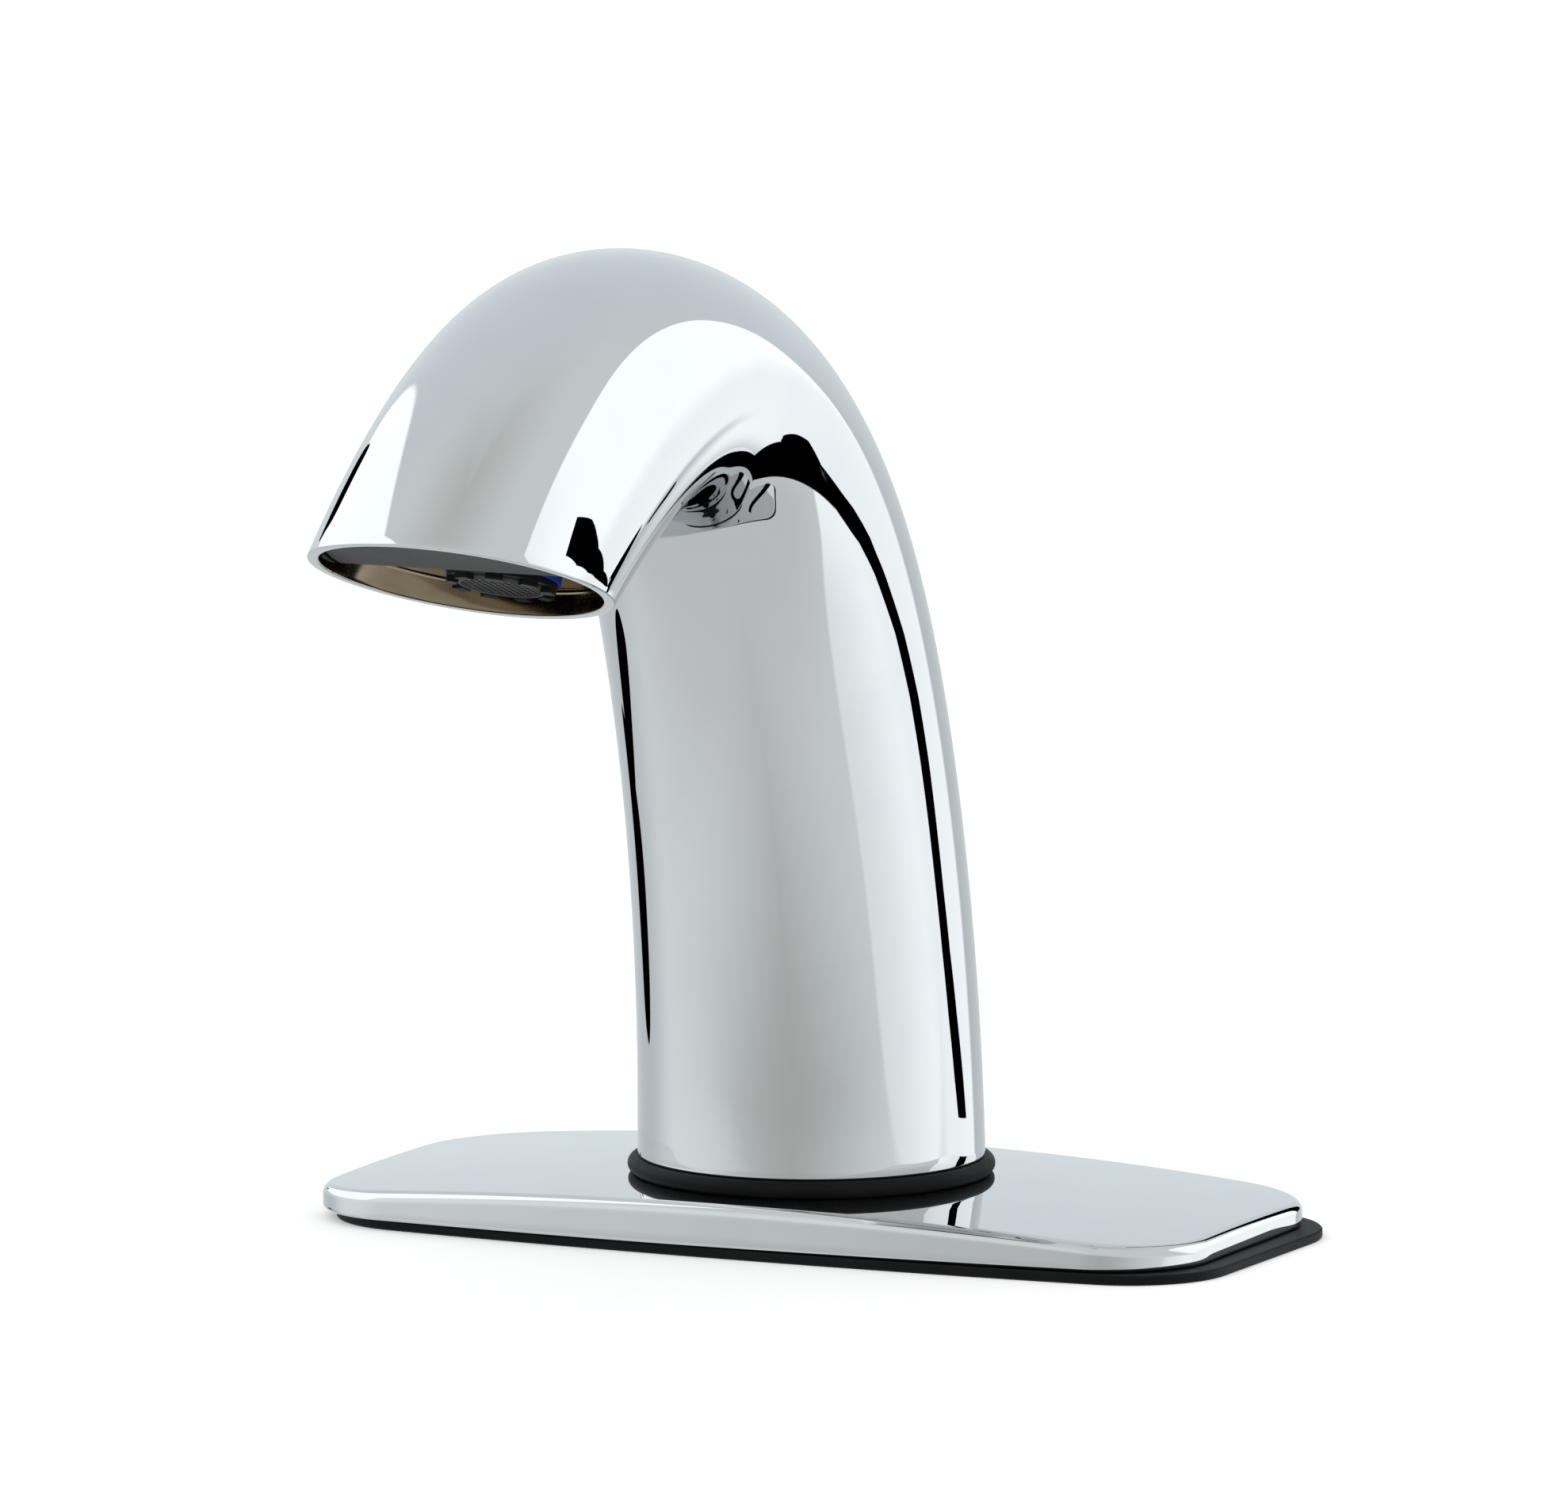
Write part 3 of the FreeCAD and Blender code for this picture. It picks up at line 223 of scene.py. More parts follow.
def on_circle(loop, radius):
    """Points of a circle at the same bearings as the points of a loop."""
    return [(x * radius / math.hypot(x, y), y * radius / math.hypot(x, y)) for x, y in loop]


def at_height(loop, height):
    """A flat loop lifted to a height."""
    return [(x, y, height) for x, y in loop]


GASKET_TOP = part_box("plate_gasket")[1][2]
GASKET_SHIFT = 3.0 * MM
GASKET_TURN = math.radians(-1.0)
GASKET_EASE = 0.25 * MM
GASKET_HOLE = 26.0 * MM
GASKET_LENGTH = 156.5 * MM
PLATE_WIDTH = 73.9 * MM
PLATE_END = 65.6 * MM
PLATE_CORNER = 17.0 * MM


def gasket_outline(inset):
    """The sheet's outline as it lies, shifted and turned."""
    turn = Matrix.Rotation(GASKET_TURN, 2)
    loop = oblong(GASKET_LENGTH, PLATE_WIDTH, PLATE_END, PLATE_CORNER, inset)
    return [(x + GASKET_SHIFT, y) for x, y in (turn @ Vector(point) for point in loop)]


black_rubber = rubber("black_rubber", (0.0025, 0.0025, 0.003, 1), (0.007, 0.007, 0.0075, 1), 2600.0)
gasket_hole = on_circle(gasket_outline(0.0), GASKET_HOLE)
gasket = closed_loops("gasket_sheet", [
    at_height(gasket_outline(GASKET_EASE), 0.0),
    at_height(gasket_outline(0.0), GASKET_EASE),
    at_height(gasket_outline(0.0), GASKET_TOP - GASKET_EASE),
    at_height(gasket_outline(GASKET_EASE), GASKET_TOP),
    at_height(gasket_hole, GASKET_TOP),
    at_height(gasket_hole, 0.0)], black_rubber)
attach(gasket, "faucet")
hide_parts("plate_gasket")


# Cover plate
# A shallow domed plate of cast metal, polished and chrome-plated, hollow underneath.
# Its opening has a collar below and a shallow seat above for the rubber ring.

def chrome_finish():
    """Mirror-bright plating, with faint polishing ripples and hardly any haze."""
    material, tree = finish_of("chrome_plating", Metallic=1.0)
    haze = tree.noise(90.0, 4.0).rise(0.4, 0.8)
    ripple = tree.noise(70.0, 1.0)
    return feed(material, Base_Color=haze.blend((0.60, 0.61, 0.62, 1), (0.585, 0.595, 0.61, 1)),
                Roughness=0.012 + haze * 0.012, Normal=tree.bump(ripple, 0.12, 0.03 * MM))


PLATE_LENGTH = 155.0 * MM
PLATE_TOP = 9.5 * MM
PLATE_CROWN = 800.0 * MM
PLATE_SKIN = 2.6 * MM
PLATE_LIP = 4.0 * MM
PLATE_EDGE = 1.8 * MM
PLATE_FOOT_EDGE = 0.7 * MM
PLATE_HOLE = 22.0 * MM
PLATE_COLLAR = 25.5 * MM
RING_SEAT = 30.0 * MM
RING_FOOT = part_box("base_ring")[0][2]
EDGE_STEPS = 8
CROWN_STEPS = 46
WALL_SHARES = (0.0, 0.3, 0.6, 0.9)


def plate_outline(inset):
    """The plate's outline drawn in by an inset."""
    return oblong(PLATE_LENGTH, PLATE_WIDTH, PLATE_END, PLATE_CORNER, inset)


def under_crown(loop, skin=0.0):
    """Points of a loop raised to the crown, or to its underside."""
    radius = PLATE_CROWN - skin
    return [(x, y, PLATE_TOP - PLATE_CROWN + math.sqrt(radius ** 2 - x * x - y * y)) for x, y in loop]


def plate_side():
    """Loops up the plate's side: eased foot, upright wall and round top edge that runs into the crown."""
    loops = []
    for step in range(EDGE_STEPS):
        angle = math.pi / 2 * step / EDGE_STEPS
        inset = PLATE_FOOT_EDGE * (1 - math.sin(angle))
        loops.append(at_height(plate_outline(inset), GASKET_TOP + PLATE_FOOT_EDGE * (1 - math.cos(angle))))
    wall = plate_outline(0.0)
    inner = plate_outline(PLATE_EDGE)
    crown = under_crown(inner)
    slopes = []
    for (x, y), (a, b) in zip(wall, inner):
        run = Vector((x - a, y - b)).normalized()
        slopes.append(math.atan((a * run.x + b * run.y) / PLATE_CROWN))
    middles = [point[2] - PLATE_EDGE / math.cos(slope) for point, slope in zip(crown, slopes)]
    foot = GASKET_TOP + PLATE_FOOT_EDGE
    for share in WALL_SHARES:
        loops.append([(x, y, foot + (middle - foot) * share) for (x, y), middle in zip(wall, middles)])
    for step in range(EDGE_STEPS * 2 + 1):
        loop = []
        for (x, y), (a, b), middle, slope in zip(wall, inner, middles, slopes):
            angle = (math.pi / 2 - slope) * step / (EDGE_STEPS * 2)
            reach = math.cos(angle)
            loop.append((a + (x - a) * reach, b + (y - b) * reach, middle + PLATE_EDGE * math.sin(angle)))
        loops.append(loop)
    return loops


chrome = chrome_finish()
plate_loops = plate_side()
brim = [(x, y) for x, y, _ in plate_loops[-1]]
seat = on_circle(brim, RING_SEAT)
for step in range(1, CROWN_STEPS + 1):
    share = step / CROWN_STEPS
    inward = [(x + (a - x) * share, y + (b - y) * share) for (x, y), (a, b) in zip(brim, seat)]
    plate_loops.append(under_crown(inward))
plate_hole = on_circle(brim, PLATE_HOLE)
collar = on_circle(brim, PLATE_COLLAR)
pocket = plate_outline(PLATE_LIP)
plate_loops += [
    at_height(seat, RING_FOOT), at_height(plate_hole, RING_FOOT), at_height(plate_hole, GASKET_TOP),
    at_height(collar, GASKET_TOP), under_crown(collar, PLATE_SKIN), under_crown(pocket, PLATE_SKIN),
    at_height(pocket, GASKET_TOP)]
plate = closed_loops("plate_casting", plate_loops, chrome)
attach(plate, "faucet")
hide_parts("cover_plate")


# Base ring
# A moulded rubber ring with a round outer bead, squeezed between the plate and the column's foot.
# It seals the column and keeps the two chrome faces apart.

def turned(name, profile, material, steps, place=Matrix.Identity(4)):
    """A turned ring: radius and height points swung round an axis, then put in place."""
    loops = []
    for radius, height in profile:
        bearings = [2 * math.pi * step / steps for step in range(steps)]
        loops.append([place @ Vector((radius * math.cos(a), radius * math.sin(a), height)) for a in bearings])
    return closed_loops(name, loops, material)


def round_over(start, corner, end, steps):
    """Points, or loops of points, round a corner from one side to the other."""
    parts = [step / steps for step in range(steps + 1)]
    return [start * (1 - s) ** 2 + corner * 2 * s * (1 - s) + end * s ** 2 for s in parts]


NEARLY_HALF = 0.45


def eased(profile, ease, steps=4):
    """A profile with each corner rounded a little, over less than half of its sides."""
    rounded = []
    count = len(profile)
    for index, corner in enumerate(profile):
        here = Vector(corner)
        before = Vector(profile[index - 1]) - here
        after = Vector(profile[(index + 1) % count]) - here
        start = here + before.normalized() * min(ease, before.length * NEARLY_HALF)
        end = here + after.normalized() * min(ease, after.length * NEARLY_HALF)
        rounded += [tuple(point) for point in round_over(start, here, end, steps)]
    return rounded


RING_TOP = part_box("base_ring")[1][2]
RING_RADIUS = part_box("base_ring")[1][0]
RING_HOLE = 22.5 * MM
BEAD = (RING_TOP - RING_FOOT) / 2
BEAD_STEPS = 14
RING_STEPS = 220
bead = [(RING_HOLE, RING_TOP), (RING_HOLE, RING_FOOT)]
for step in range(BEAD_STEPS + 1):
    angle = math.pi * (step / BEAD_STEPS - 0.5)
    bead.append((RING_RADIUS - BEAD + BEAD * math.cos(angle), RING_FOOT + BEAD + BEAD * math.sin(angle)))
ring = turned("ring_bead", bead, black_rubber, RING_STEPS)
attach(ring, "faucet")
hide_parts("base_ring")


# Foot insert, grommet and inlet filter
# A machined brass plug that closes the column's foot, with the stud and hose threads cut in it.
# The lead passes a rubber grommet, and a steel screen sits above the hose's thread.

def machined(name, tone, dark_tone, roughness, lines):
    """Turned or milled metal: fine tool lines across the height, with darker patches at random."""
    material, tree = finish_of(name, Metallic=1.0)
    tool = tree.noise(lines, 2.0, (0.15, 0.15, 6.0))
    patch = tree.noise(55.0, 3.0).rise(0.4, 0.7)
    return feed(material, Base_Color=patch.blend(tone, dark_tone), Roughness=roughness + tool * 0.12,
                Normal=tree.bump(tool, 0.2, 0.02 * MM))


def dressed(material, *names):
    """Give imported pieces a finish."""
    for name in names:
        data = nodes[name].data
        data.materials.clear()
        data.materials.append(material)


brass = machined("machined_brass", (0.66, 0.48, 0.22, 1), (0.50, 0.34, 0.14, 1), 0.24, 420.0)
steel = machined("stainless_steel", (0.58, 0.58, 0.57, 1), (0.46, 0.46, 0.46, 1), 0.26, 520.0)
dressed(brass, "base_insert")
dressed(steel, "inlet_filter")
dressed(black_rubber, "cable_grommet")


# Check valve
# A white moulded seat, poppet and guide pressed into the insert's bore, with a small steel spring.
# The poppet lifts when water comes in, and the spring shuts it.

def moulded(name, tone, uneven_tone, roughness, grain, gloss=0.5):
    """Injection-moulded plastic: a fine spark-eroded grain and a slight unevenness of tone."""
    material, tree = finish_of(name, Specular_IOR_Level=gloss)
    fine = tree.noise(grain, 2.0)
    # The second tone comes in random patches, not where shade falls.
    patch = tree.noise(80.0, 3.0).rise(0.35, 0.75)
    return feed(material, Base_Color=patch.blend(tone, uneven_tone), Roughness=roughness + fine * 0.14,
                Normal=tree.bump(fine, 0.2, 0.03 * MM))


white_plastic = moulded("white_moulding", (0.80, 0.80, 0.77, 1), (0.72, 0.72, 0.68, 1), 0.36, 1800.0)
dressed(white_plastic, "check_seat", "check_poppet", "check_guide")
COIL_STEPS = 36
WIRE_STEPS = 10
CHECK_WIRE = 0.5 * MM
CHECK_TURNS = 4.0


def spring(name, node, wire, turns):
    """A steel coil spring that fills a part's box."""
    low, high = (Vector(corner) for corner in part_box(node))
    middle = (low + high) / 2
    radius = (high.x - low.x - wire) / 2
    rise = high.z - low.z - wire
    form = bmesh.new()
    rows = []
    steps = round(COIL_STEPS * turns)
    for step in range(steps + 1):
        angle = 2 * math.pi * turns * step / steps
        outward = Vector((math.cos(angle), math.sin(angle), 0))
        core = Vector((middle.x, middle.y, low.z + wire / 2 + rise * step / steps)) + outward * radius
        swings = [2 * math.pi * part / WIRE_STEPS for part in range(WIRE_STEPS)]
        rows.append([form.verts.new(core + (outward * math.cos(s) + Vector((0, 0, math.sin(s)))) * (wire / 2))
                     for s in swings])
    for row, after in zip(rows, rows[1:]):
        strip(form, row, after)
    form.faces.new(rows[0])
    form.faces.new(rows[-1])
    piece = piece_of(name, mesh_of(name, form), steel)
    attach(piece, "faucet")
    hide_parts(node)
    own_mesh(piece)


spring("check_coil", "check_spring", CHECK_WIRE, CHECK_TURNS)


# Solenoid valve
# A forged brass body with a bonnet on a rubber seal, held down by four long steel screws.
# The steel core tube holds the sprung plunger, whose rubber seal shuts the seat.

PLUNGER_WIRE = 0.6 * MM
PLUNGER_TURNS = 5.0
dressed(brass, "valve_body", "bonnet")
dressed(black_rubber, "bonnet_seal", "plunger_seal")
dressed(steel, "bonnet_screws", "core_tube", "plunger", "core_stop")
spring("plunger_coil", "plunger_spring", PLUNGER_WIRE, PLUNGER_TURNS)


# Coil
# Enamelled copper wire wound on a white bobbin inside a bent steel yoke.
# One flat nut on the core tube holds it all down.

def wound_copper():
    """Enamelled wire: fine even turns that show as rings, with painted shade in the grooves between turns, a
    painted sheen on their crests and a reddish gloss.
    """
    material, tree = finish_of("enamelled_wire", Metallic=1.0)
    place = tree.add("ShaderNodeTexCoord", output="Object")
    turns = tree.add("ShaderNodeTexWave", {"bands_direction": "Z", "wave_profile": "SIN"},
                     {"Vector": place, "Scale": 620.0, "Distortion": 0.4, "Detail": 1.0}, output="Fac")
    # The colour goes from a painted shade in the grooves to a painted sheen on the crests of the turns.
    return feed(material, Base_Color=turns.blend((0.36, 0.12, 0.05, 1), (0.70, 0.31, 0.16, 1)),
                Roughness=0.42 - turns * 0.14, Normal=tree.bump(turns, 0.5, 0.12 * MM))


dressed(white_plastic, "coil_bobbin")
dressed(wound_copper(), "coil_winding")
dressed(steel, "coil_yoke", "coil_nut")


# Water tube and sensor lead
# A drawn plastic tube runs up the back of the column to the outlet.
# The sensor's thin jacketed lead runs down beside it to the grommet.

tube_plastic = moulded("drawn_tube", (0.72, 0.75, 0.74, 1), (0.64, 0.67, 0.67, 1), 0.28, 900.0)
lead_jacket = moulded("lead_jacket", (0.018, 0.018, 0.019, 1), (0.030, 0.030, 0.032, 1), 0.42, 1500.0)
dressed(tube_plastic, "water_tube")
dressed(lead_jacket, "sensor_cable")


# Nozzle block
# A nickel-plated casting that fills the head above the outlet.
# The aerator screws into its underside and the tube plugs into its back.

def bore_finish():
    """Bright warm nickel with fine boring marks round the wall."""
    material, tree = finish_of("nickel_plating", Metallic=1.0)
    marks = tree.noise(260.0, 2.0, (0.3, 1.0, 3.0))
    return feed(material, Base_Color=marks.blend((0.56, 0.50, 0.42, 1), (0.42, 0.37, 0.30, 1)),
                Roughness=0.08 + marks * 0.08, Normal=tree.bump(marks, 0.12, 0.02 * MM))


nickel = bore_finish()
dressed(nickel, "nozzle_block")


# Aerator
# A black moulded cartridge with a notched crown for its key, screwed up against a blue washer.
# A moulded lattice and a fine mesh across its mouth break the water up, and a disc above limits the flow. The
# mesh is near-black, a painted shade inside the lattice's holes.

black_plastic = moulded("black_moulding", (0.006, 0.006, 0.007, 1), (0.012, 0.012, 0.013, 1), 0.34, 2200.0,
                        0.15)
turn_joint = next(joint for joint in frame["joints"] if joint["name"] == "aerator_turn")
up_bore = -Vector(turn_joint["axis"]).normalized()
across = Vector((1, 0, 0))
behind = up_bore.cross(across)
aerator_axes = Matrix((across, behind, up_bore)).transposed().to_4x4()
AERATOR = Matrix.Translation(Vector(turn_joint["pos_m"])) @ aerator_axes
CROWN_FOOT = 1.9 * MM
CROWN_TOP = 2.8 * MM
CROWN_SINK = 0.15 * MM
CARTRIDGE_RADIUS = 8.8 * MM
CARTRIDGE_BORE = 7.3 * MM
CARTRIDGE_LIP = 6.95 * MM
COLLAR_TOP = 3.9 * MM
THREAD_RADIUS = 8.25 * MM
THREAD_TOP = 10.4 * MM
LUGS = 9
FIRST_LUG = math.radians(46.0)
SLOT = 3.3 * MM
LUG_STEPS = 6
LUG_EASE_STEPS = 2
CARTRIDGE_STEPS = 96
SMALL_EASE = 0.14 * MM


def lug_mesh():
    """One lug of the crown: a short curved block with eased edges, round the cartridge's axis."""
    half = math.pi / LUGS - math.asin(SLOT / 2 / CARTRIDGE_RADIUS)
    outline = eased([(CARTRIDGE_LIP, CROWN_FOOT), (CARTRIDGE_RADIUS, CROWN_FOOT),
                     (CARTRIDGE_RADIUS, CROWN_TOP + CROWN_SINK), (CARTRIDGE_LIP, CROWN_TOP + CROWN_SINK)],
                    SMALL_EASE, LUG_EASE_STEPS)
    form = bmesh.new()
    rows = []
    for step in range(LUG_STEPS + 1):
        angle = half * (2 * step / LUG_STEPS - 1)
        rows.append([form.verts.new((r * math.cos(angle), r * math.sin(angle), z)) for r, z in outline])
    for row, after in zip(rows, rows[1:]):
        strip(form, row, after)
    form.faces.new(rows[0])
    form.faces.new(rows[-1])
    return mesh_of("crown_lug", form)


def plain_mesh(carrier, name, place):
    """The evaluated mesh of a carrier object as a new piece, with the carrier taken away."""
    seen = carrier.evaluated_get(bpy.context.evaluated_depsgraph_get())
    mesh = bpy.data.meshes.new_from_object(seen)
    mesh.transform(place)
    mesh.name = name
    carrier.modifiers.clear()
    bpy.data.objects.remove(carrier)
    return in_scene(name, mesh)


def grown(name, tree, inputs, place):
    """Run a geometry tree on an empty mesh with the given inputs and keep its result as a piece."""
    carrier = in_scene(name + "_carrier", bpy.data.meshes.new(name + "_carrier"))
    modifier = carrier.modifiers.new("grow", "NODES")
    modifier.node_group = tree
    for item in tree.interface.items_tree:
        if item.item_type == "SOCKET" and item.in_out == "INPUT" and item.name in inputs:
            modifier[item.identifier] = inputs[item.name]
    return plain_mesh(carrier, name, place)


def geometry_tree(name, **sockets):
    """An empty geometry tree, wrapped, and each of its named inputs."""
    tree = bpy.data.node_groups.new(name, "GeometryNodeTree")
    for socket, kind in sockets.items():
        tree.interface.new_socket(socket, in_out="INPUT", socket_type="NodeSocket" + kind)
    tree.interface.new_socket("Geometry", in_out="OUTPUT", socket_type="NodeSocketGeometry")
    start = tree.nodes.new("NodeGroupInput")
    return [Shade(tree)] + [Shade(tree, start.outputs[socket]) for socket in sockets]


def coated(grow, shape, finish):
    """The tree, ended with the shape made solid and given its finish."""
    solid = grow.add("GeometryNodeRealizeInstances", inputs={"Geometry": shape})
    done = grow.add("GeometryNodeSetMaterial", inputs={"Geometry": solid, "Material": finish})
    end = grow.tree.nodes.new("NodeGroupOutput")
    grow.tree.links.new(done.socket, end.inputs[0])
    return grow.tree


def crown_tree(lug):
    """Lugs set evenly round the cartridge's axis."""
    grow, lugs, first, finish = geometry_tree("crown_of_lugs", Lugs="Int", First="Float", Finish="Material")
    spots = grow.add("GeometryNodeMeshLine", inputs={"Count": lugs, "Offset": (0.0, 0.0, 0.0)})
    index = grow.add("GeometryNodeInputIndex")
    turn = grow.add("ShaderNodeCombineXYZ", inputs={"Z": index / lugs * (2 * math.pi) + first})
    source = grow.add("GeometryNodeObjectInfo", inputs={"Object": lug}, output="Geometry")
    ringed = grow.add("GeometryNodeInstanceOnPoints", inputs={
        "Points": spots, "Instance": source, "Rotation": turn})
    return coated(grow, ringed, finish)


def lattice_tree():
    """Two crossed rows of bars, each as long as the round mouth is wide at its place."""
    grow, bars, pitch, bar, depth, mouth, finish = geometry_tree(
        "lattice", Bars="Int", Pitch="Float", Bar="Float", Depth="Float", Mouth="Float", Finish="Material")
    first = grow.add("ShaderNodeCombineXYZ", inputs={"X": (bars - 1.0) * -0.5 * pitch})
    stride = grow.add("ShaderNodeCombineXYZ", inputs={"X": pitch})
    line = grow.add("GeometryNodeMeshLine", inputs={"Count": bars, "Start Location": first, "Offset": stride})
    place = grow.add("GeometryNodeInputPosition")
    aside = grow.add("ShaderNodeSeparateXYZ", inputs={"Vector": place}, output="X")
    span = grow.maths("SQRT", mouth * mouth - aside * aside) * 2.0
    size = grow.add("ShaderNodeCombineXYZ", inputs={"X": bar, "Y": span, "Z": depth})
    cube = grow.add("GeometryNodeMeshCube", inputs={"Size": (1.0, 1.0, 1.0)}, output="Mesh")
    row = grow.add("GeometryNodeInstanceOnPoints", inputs={"Points": line, "Instance": cube, "Scale": size})
    crossed = grow.add("GeometryNodeTransform", inputs={"Geometry": row, "Rotation": (0.0, 0.0, math.pi / 2)})
    both = grow.add("GeometryNodeJoinGeometry", inputs={"Geometry": row})
    grow.tree.links.new(crossed.socket, both.socket.node.inputs[0])
    return coated(grow, both, finish)


def joined(name, pieces):
    """Several pieces made one."""
    form = bmesh.new()
    material = pieces[0].data.materials[0]
    for piece in pieces:
        form.from_mesh(piece.data)
        bpy.data.objects.remove(piece)
    return piece_of(name, mesh_of(name, form), material)


sleeve = turned("cartridge_sleeve", eased([
    (CARTRIDGE_LIP, CROWN_TOP), (CARTRIDGE_RADIUS, CROWN_TOP), (CARTRIDGE_RADIUS, COLLAR_TOP),
    (THREAD_RADIUS, COLLAR_TOP), (THREAD_RADIUS, THREAD_TOP), (CARTRIDGE_BORE, THREAD_TOP),
    (CARTRIDGE_BORE, CROWN_TOP + CROWN_SINK), (CARTRIDGE_LIP, CROWN_TOP + CROWN_SINK)], SMALL_EASE),
    black_plastic, CARTRIDGE_STEPS, AERATOR)
lug = bpy.data.objects.new("crown_lug", lug_mesh())
crown = grown("crown", crown_tree(lug), {"Lugs": LUGS, "First": FIRST_LUG, "Finish": black_plastic}, AERATOR)
bpy.data.objects.remove(lug)
cartridge = joined("cartridge", [sleeve, crown])
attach(cartridge, "aerator")
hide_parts("aerator_housing")

SCREEN_FOOT = 2.4 * MM
SCREEN_DEPTH = 0.5 * MM
SCREEN_RADIUS = 7.15 * MM
SCREEN_RIM = 0.75 * MM
SCREEN_LIP = 0.3 * MM
SCREEN_PROUD = 0.25 * MM
SCREEN_PITCH = 1.15 * MM
SCREEN_BAR = 0.36 * MM
SCREEN_SKIN = 0.02 * MM
SCREEN_STEPS = 72
MESH_PITCH = 0.52 * MM
MESH_WIRE = 0.34 * MM
MESH_LIFT = 0.3 * MM
mesh_plastic = moulded("lattice_moulding", (0.065, 0.065, 0.066, 1), (0.09, 0.09, 0.091, 1), 0.32, 2400.0,
                       0.05)
# The fine mesh's near-black wire is a painted shade that darkens the lattice's holes.
painted_shade_wire = moulded("painted_shade_wire", (0.003, 0.003, 0.003, 1), (0.006, 0.006, 0.006, 1), 0.6, 2400.0, 0.02)
lattice_place = AERATOR @ Matrix.Translation((0, 0, SCREEN_FOOT + SCREEN_SKIN / 2))
lattice = grown("lattice", lattice_tree(), {
    "Bars": int(2 * SCREEN_RADIUS / SCREEN_PITCH), "Pitch": SCREEN_PITCH, "Bar": SCREEN_BAR,
    "Depth": SCREEN_SKIN, "Mouth": SCREEN_RADIUS - SCREEN_RIM / 2, "Finish": mesh_plastic}, lattice_place)
mesh_lift = Matrix.Translation((0, 0, SCREEN_FOOT + MESH_LIFT))
mesh_place = AERATOR @ mesh_lift @ Matrix.Rotation(math.pi / 4, 4, "Z")
fine_mesh = grown("fine_mesh", lattice_tree(), {
    "Bars": int(2 * SCREEN_RADIUS / MESH_PITCH) - 1, "Pitch": MESH_PITCH, "Bar": MESH_WIRE,
    "Depth": SCREEN_SKIN, "Mouth": SCREEN_RADIUS - SCREEN_RIM / 2, "Finish": painted_shade_wire}, mesh_place)
rim = turned("lattice_rim", eased([
    (SCREEN_RADIUS - SCREEN_RIM, SCREEN_FOOT - SCREEN_PROUD),
    (SCREEN_RADIUS - SCREEN_LIP, SCREEN_FOOT - SCREEN_PROUD),
    (SCREEN_RADIUS - SCREEN_LIP, SCREEN_FOOT), (SCREEN_RADIUS, SCREEN_FOOT),
    (SCREEN_RADIUS, SCREEN_FOOT + SCREEN_DEPTH), (SCREEN_RADIUS - SCREEN_RIM, SCREEN_FOOT + SCREEN_DEPTH)],
    SMALL_EASE), mesh_plastic, SCREEN_STEPS, AERATOR)
screen = joined("screen", [rim, lattice])
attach(screen, "aerator")
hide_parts("aerator_screen")
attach(fine_mesh, "aerator")

WASHER_RADIUS = 9.3 * MM
WASHER_HOLE = 8.33 * MM
WASHER_TOP = 4.9 * MM
blue_rubber = rubber("blue_rubber", (0.010, 0.045, 0.30, 1), (0.016, 0.065, 0.36, 1), 1900.0)
washer = turned("washer_ring", eased([
    (WASHER_HOLE, COLLAR_TOP), (WASHER_RADIUS, COLLAR_TOP), (WASHER_RADIUS, WASHER_TOP),
    (WASHER_HOLE, WASHER_TOP)], SMALL_EASE), blue_rubber, CARTRIDGE_STEPS, AERATOR)
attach(washer, "aerator_carrier")
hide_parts("aerator_washer")
dressed(white_plastic, "flow_regulator")


# Sensor
# A smoked window in the front of the outlet with a black housing behind it.
# Inside are a small coated board and a pair of infrared diodes.

smoked = moulded("smoked_window", (0.042, 0.042, 0.042, 1), (0.052, 0.052, 0.052, 1), 0.55, 3000.0, 0.25)
clear_plastic = moulded("diode_resin", (0.62, 0.63, 0.68, 1), (0.54, 0.55, 0.62, 1), 0.10, 600.0, 0.6)
board_green = moulded("coated_board", (0.018, 0.11, 0.045, 1), (0.030, 0.16, 0.070, 1), 0.30, 700.0)
dressed(smoked, "sensor_window", "ir_receiver")
dressed(black_plastic, "sensor_housing")
dressed(board_green, "sensor_board")
dressed(clear_plastic, "ir_emitter")


# Spout
# One hollow casting, polished and chrome-plated outside, its bore left in warm bright nickel.
# Oval sections follow a spine that leans, then turns over into the head with its slanted outlet.

SPINE_LENGTH = 234.4 * MM
SPINE_LEAN = 1.2
SPINE_SWAY = 49.0
CROOK_TURN = 78.1
CROOK_PLACE = 0.655
CROOK_SPAN = 0.181
FOOT_RADIUS = 28.2 * MM
OUTLET_HALF_WIDTH = 24.0 * MM
OUTLET_HALF_DEPTH = 21.9 * MM
WAIST_WIDTH = 1.2 * MM
WAIST_DEPTH = 4.0 * MM
WAIST_PLACE = 0.615
WAIST_SPAN = 0.144
SPOUT_WALL = 2.1 * MM
COUNTERBORE = 0.3 * MM
COUNTERBORE_TOP = 4.6 * MM
RIM_EASE = 0.3 * MM
FOOT_EASE = 0.5 * MM
SPOUT_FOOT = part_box("spout_body")[0][2]
COLUMNS = 176
ROWS = 190
INNER_ROWS = 90
EASE_STEPS = 4
LOW_SHARE = -0.03
FOOT_SHARE = 0.1
HEAD_SHARE = 0.82
HIGH_SHARE = 1.2
SPINE_STEPS = 6000
HALVINGS = 40
COUNTERBORE_SHARES = (0.2, 0.4, 0.6, 0.8, 0.95)

shares = np.linspace(LOW_SHARE, HIGH_SHARE, SPINE_STEPS)


def heading(share):
    """Lean of the spine from the vertical, in radians."""
    turn = np.tanh((share - CROOK_PLACE) / CROOK_SPAN) + math.tanh(CROOK_PLACE / CROOK_SPAN)
    return np.radians(SPINE_LEAN + SPINE_SWAY * share + CROOK_TURN * turn / 2)


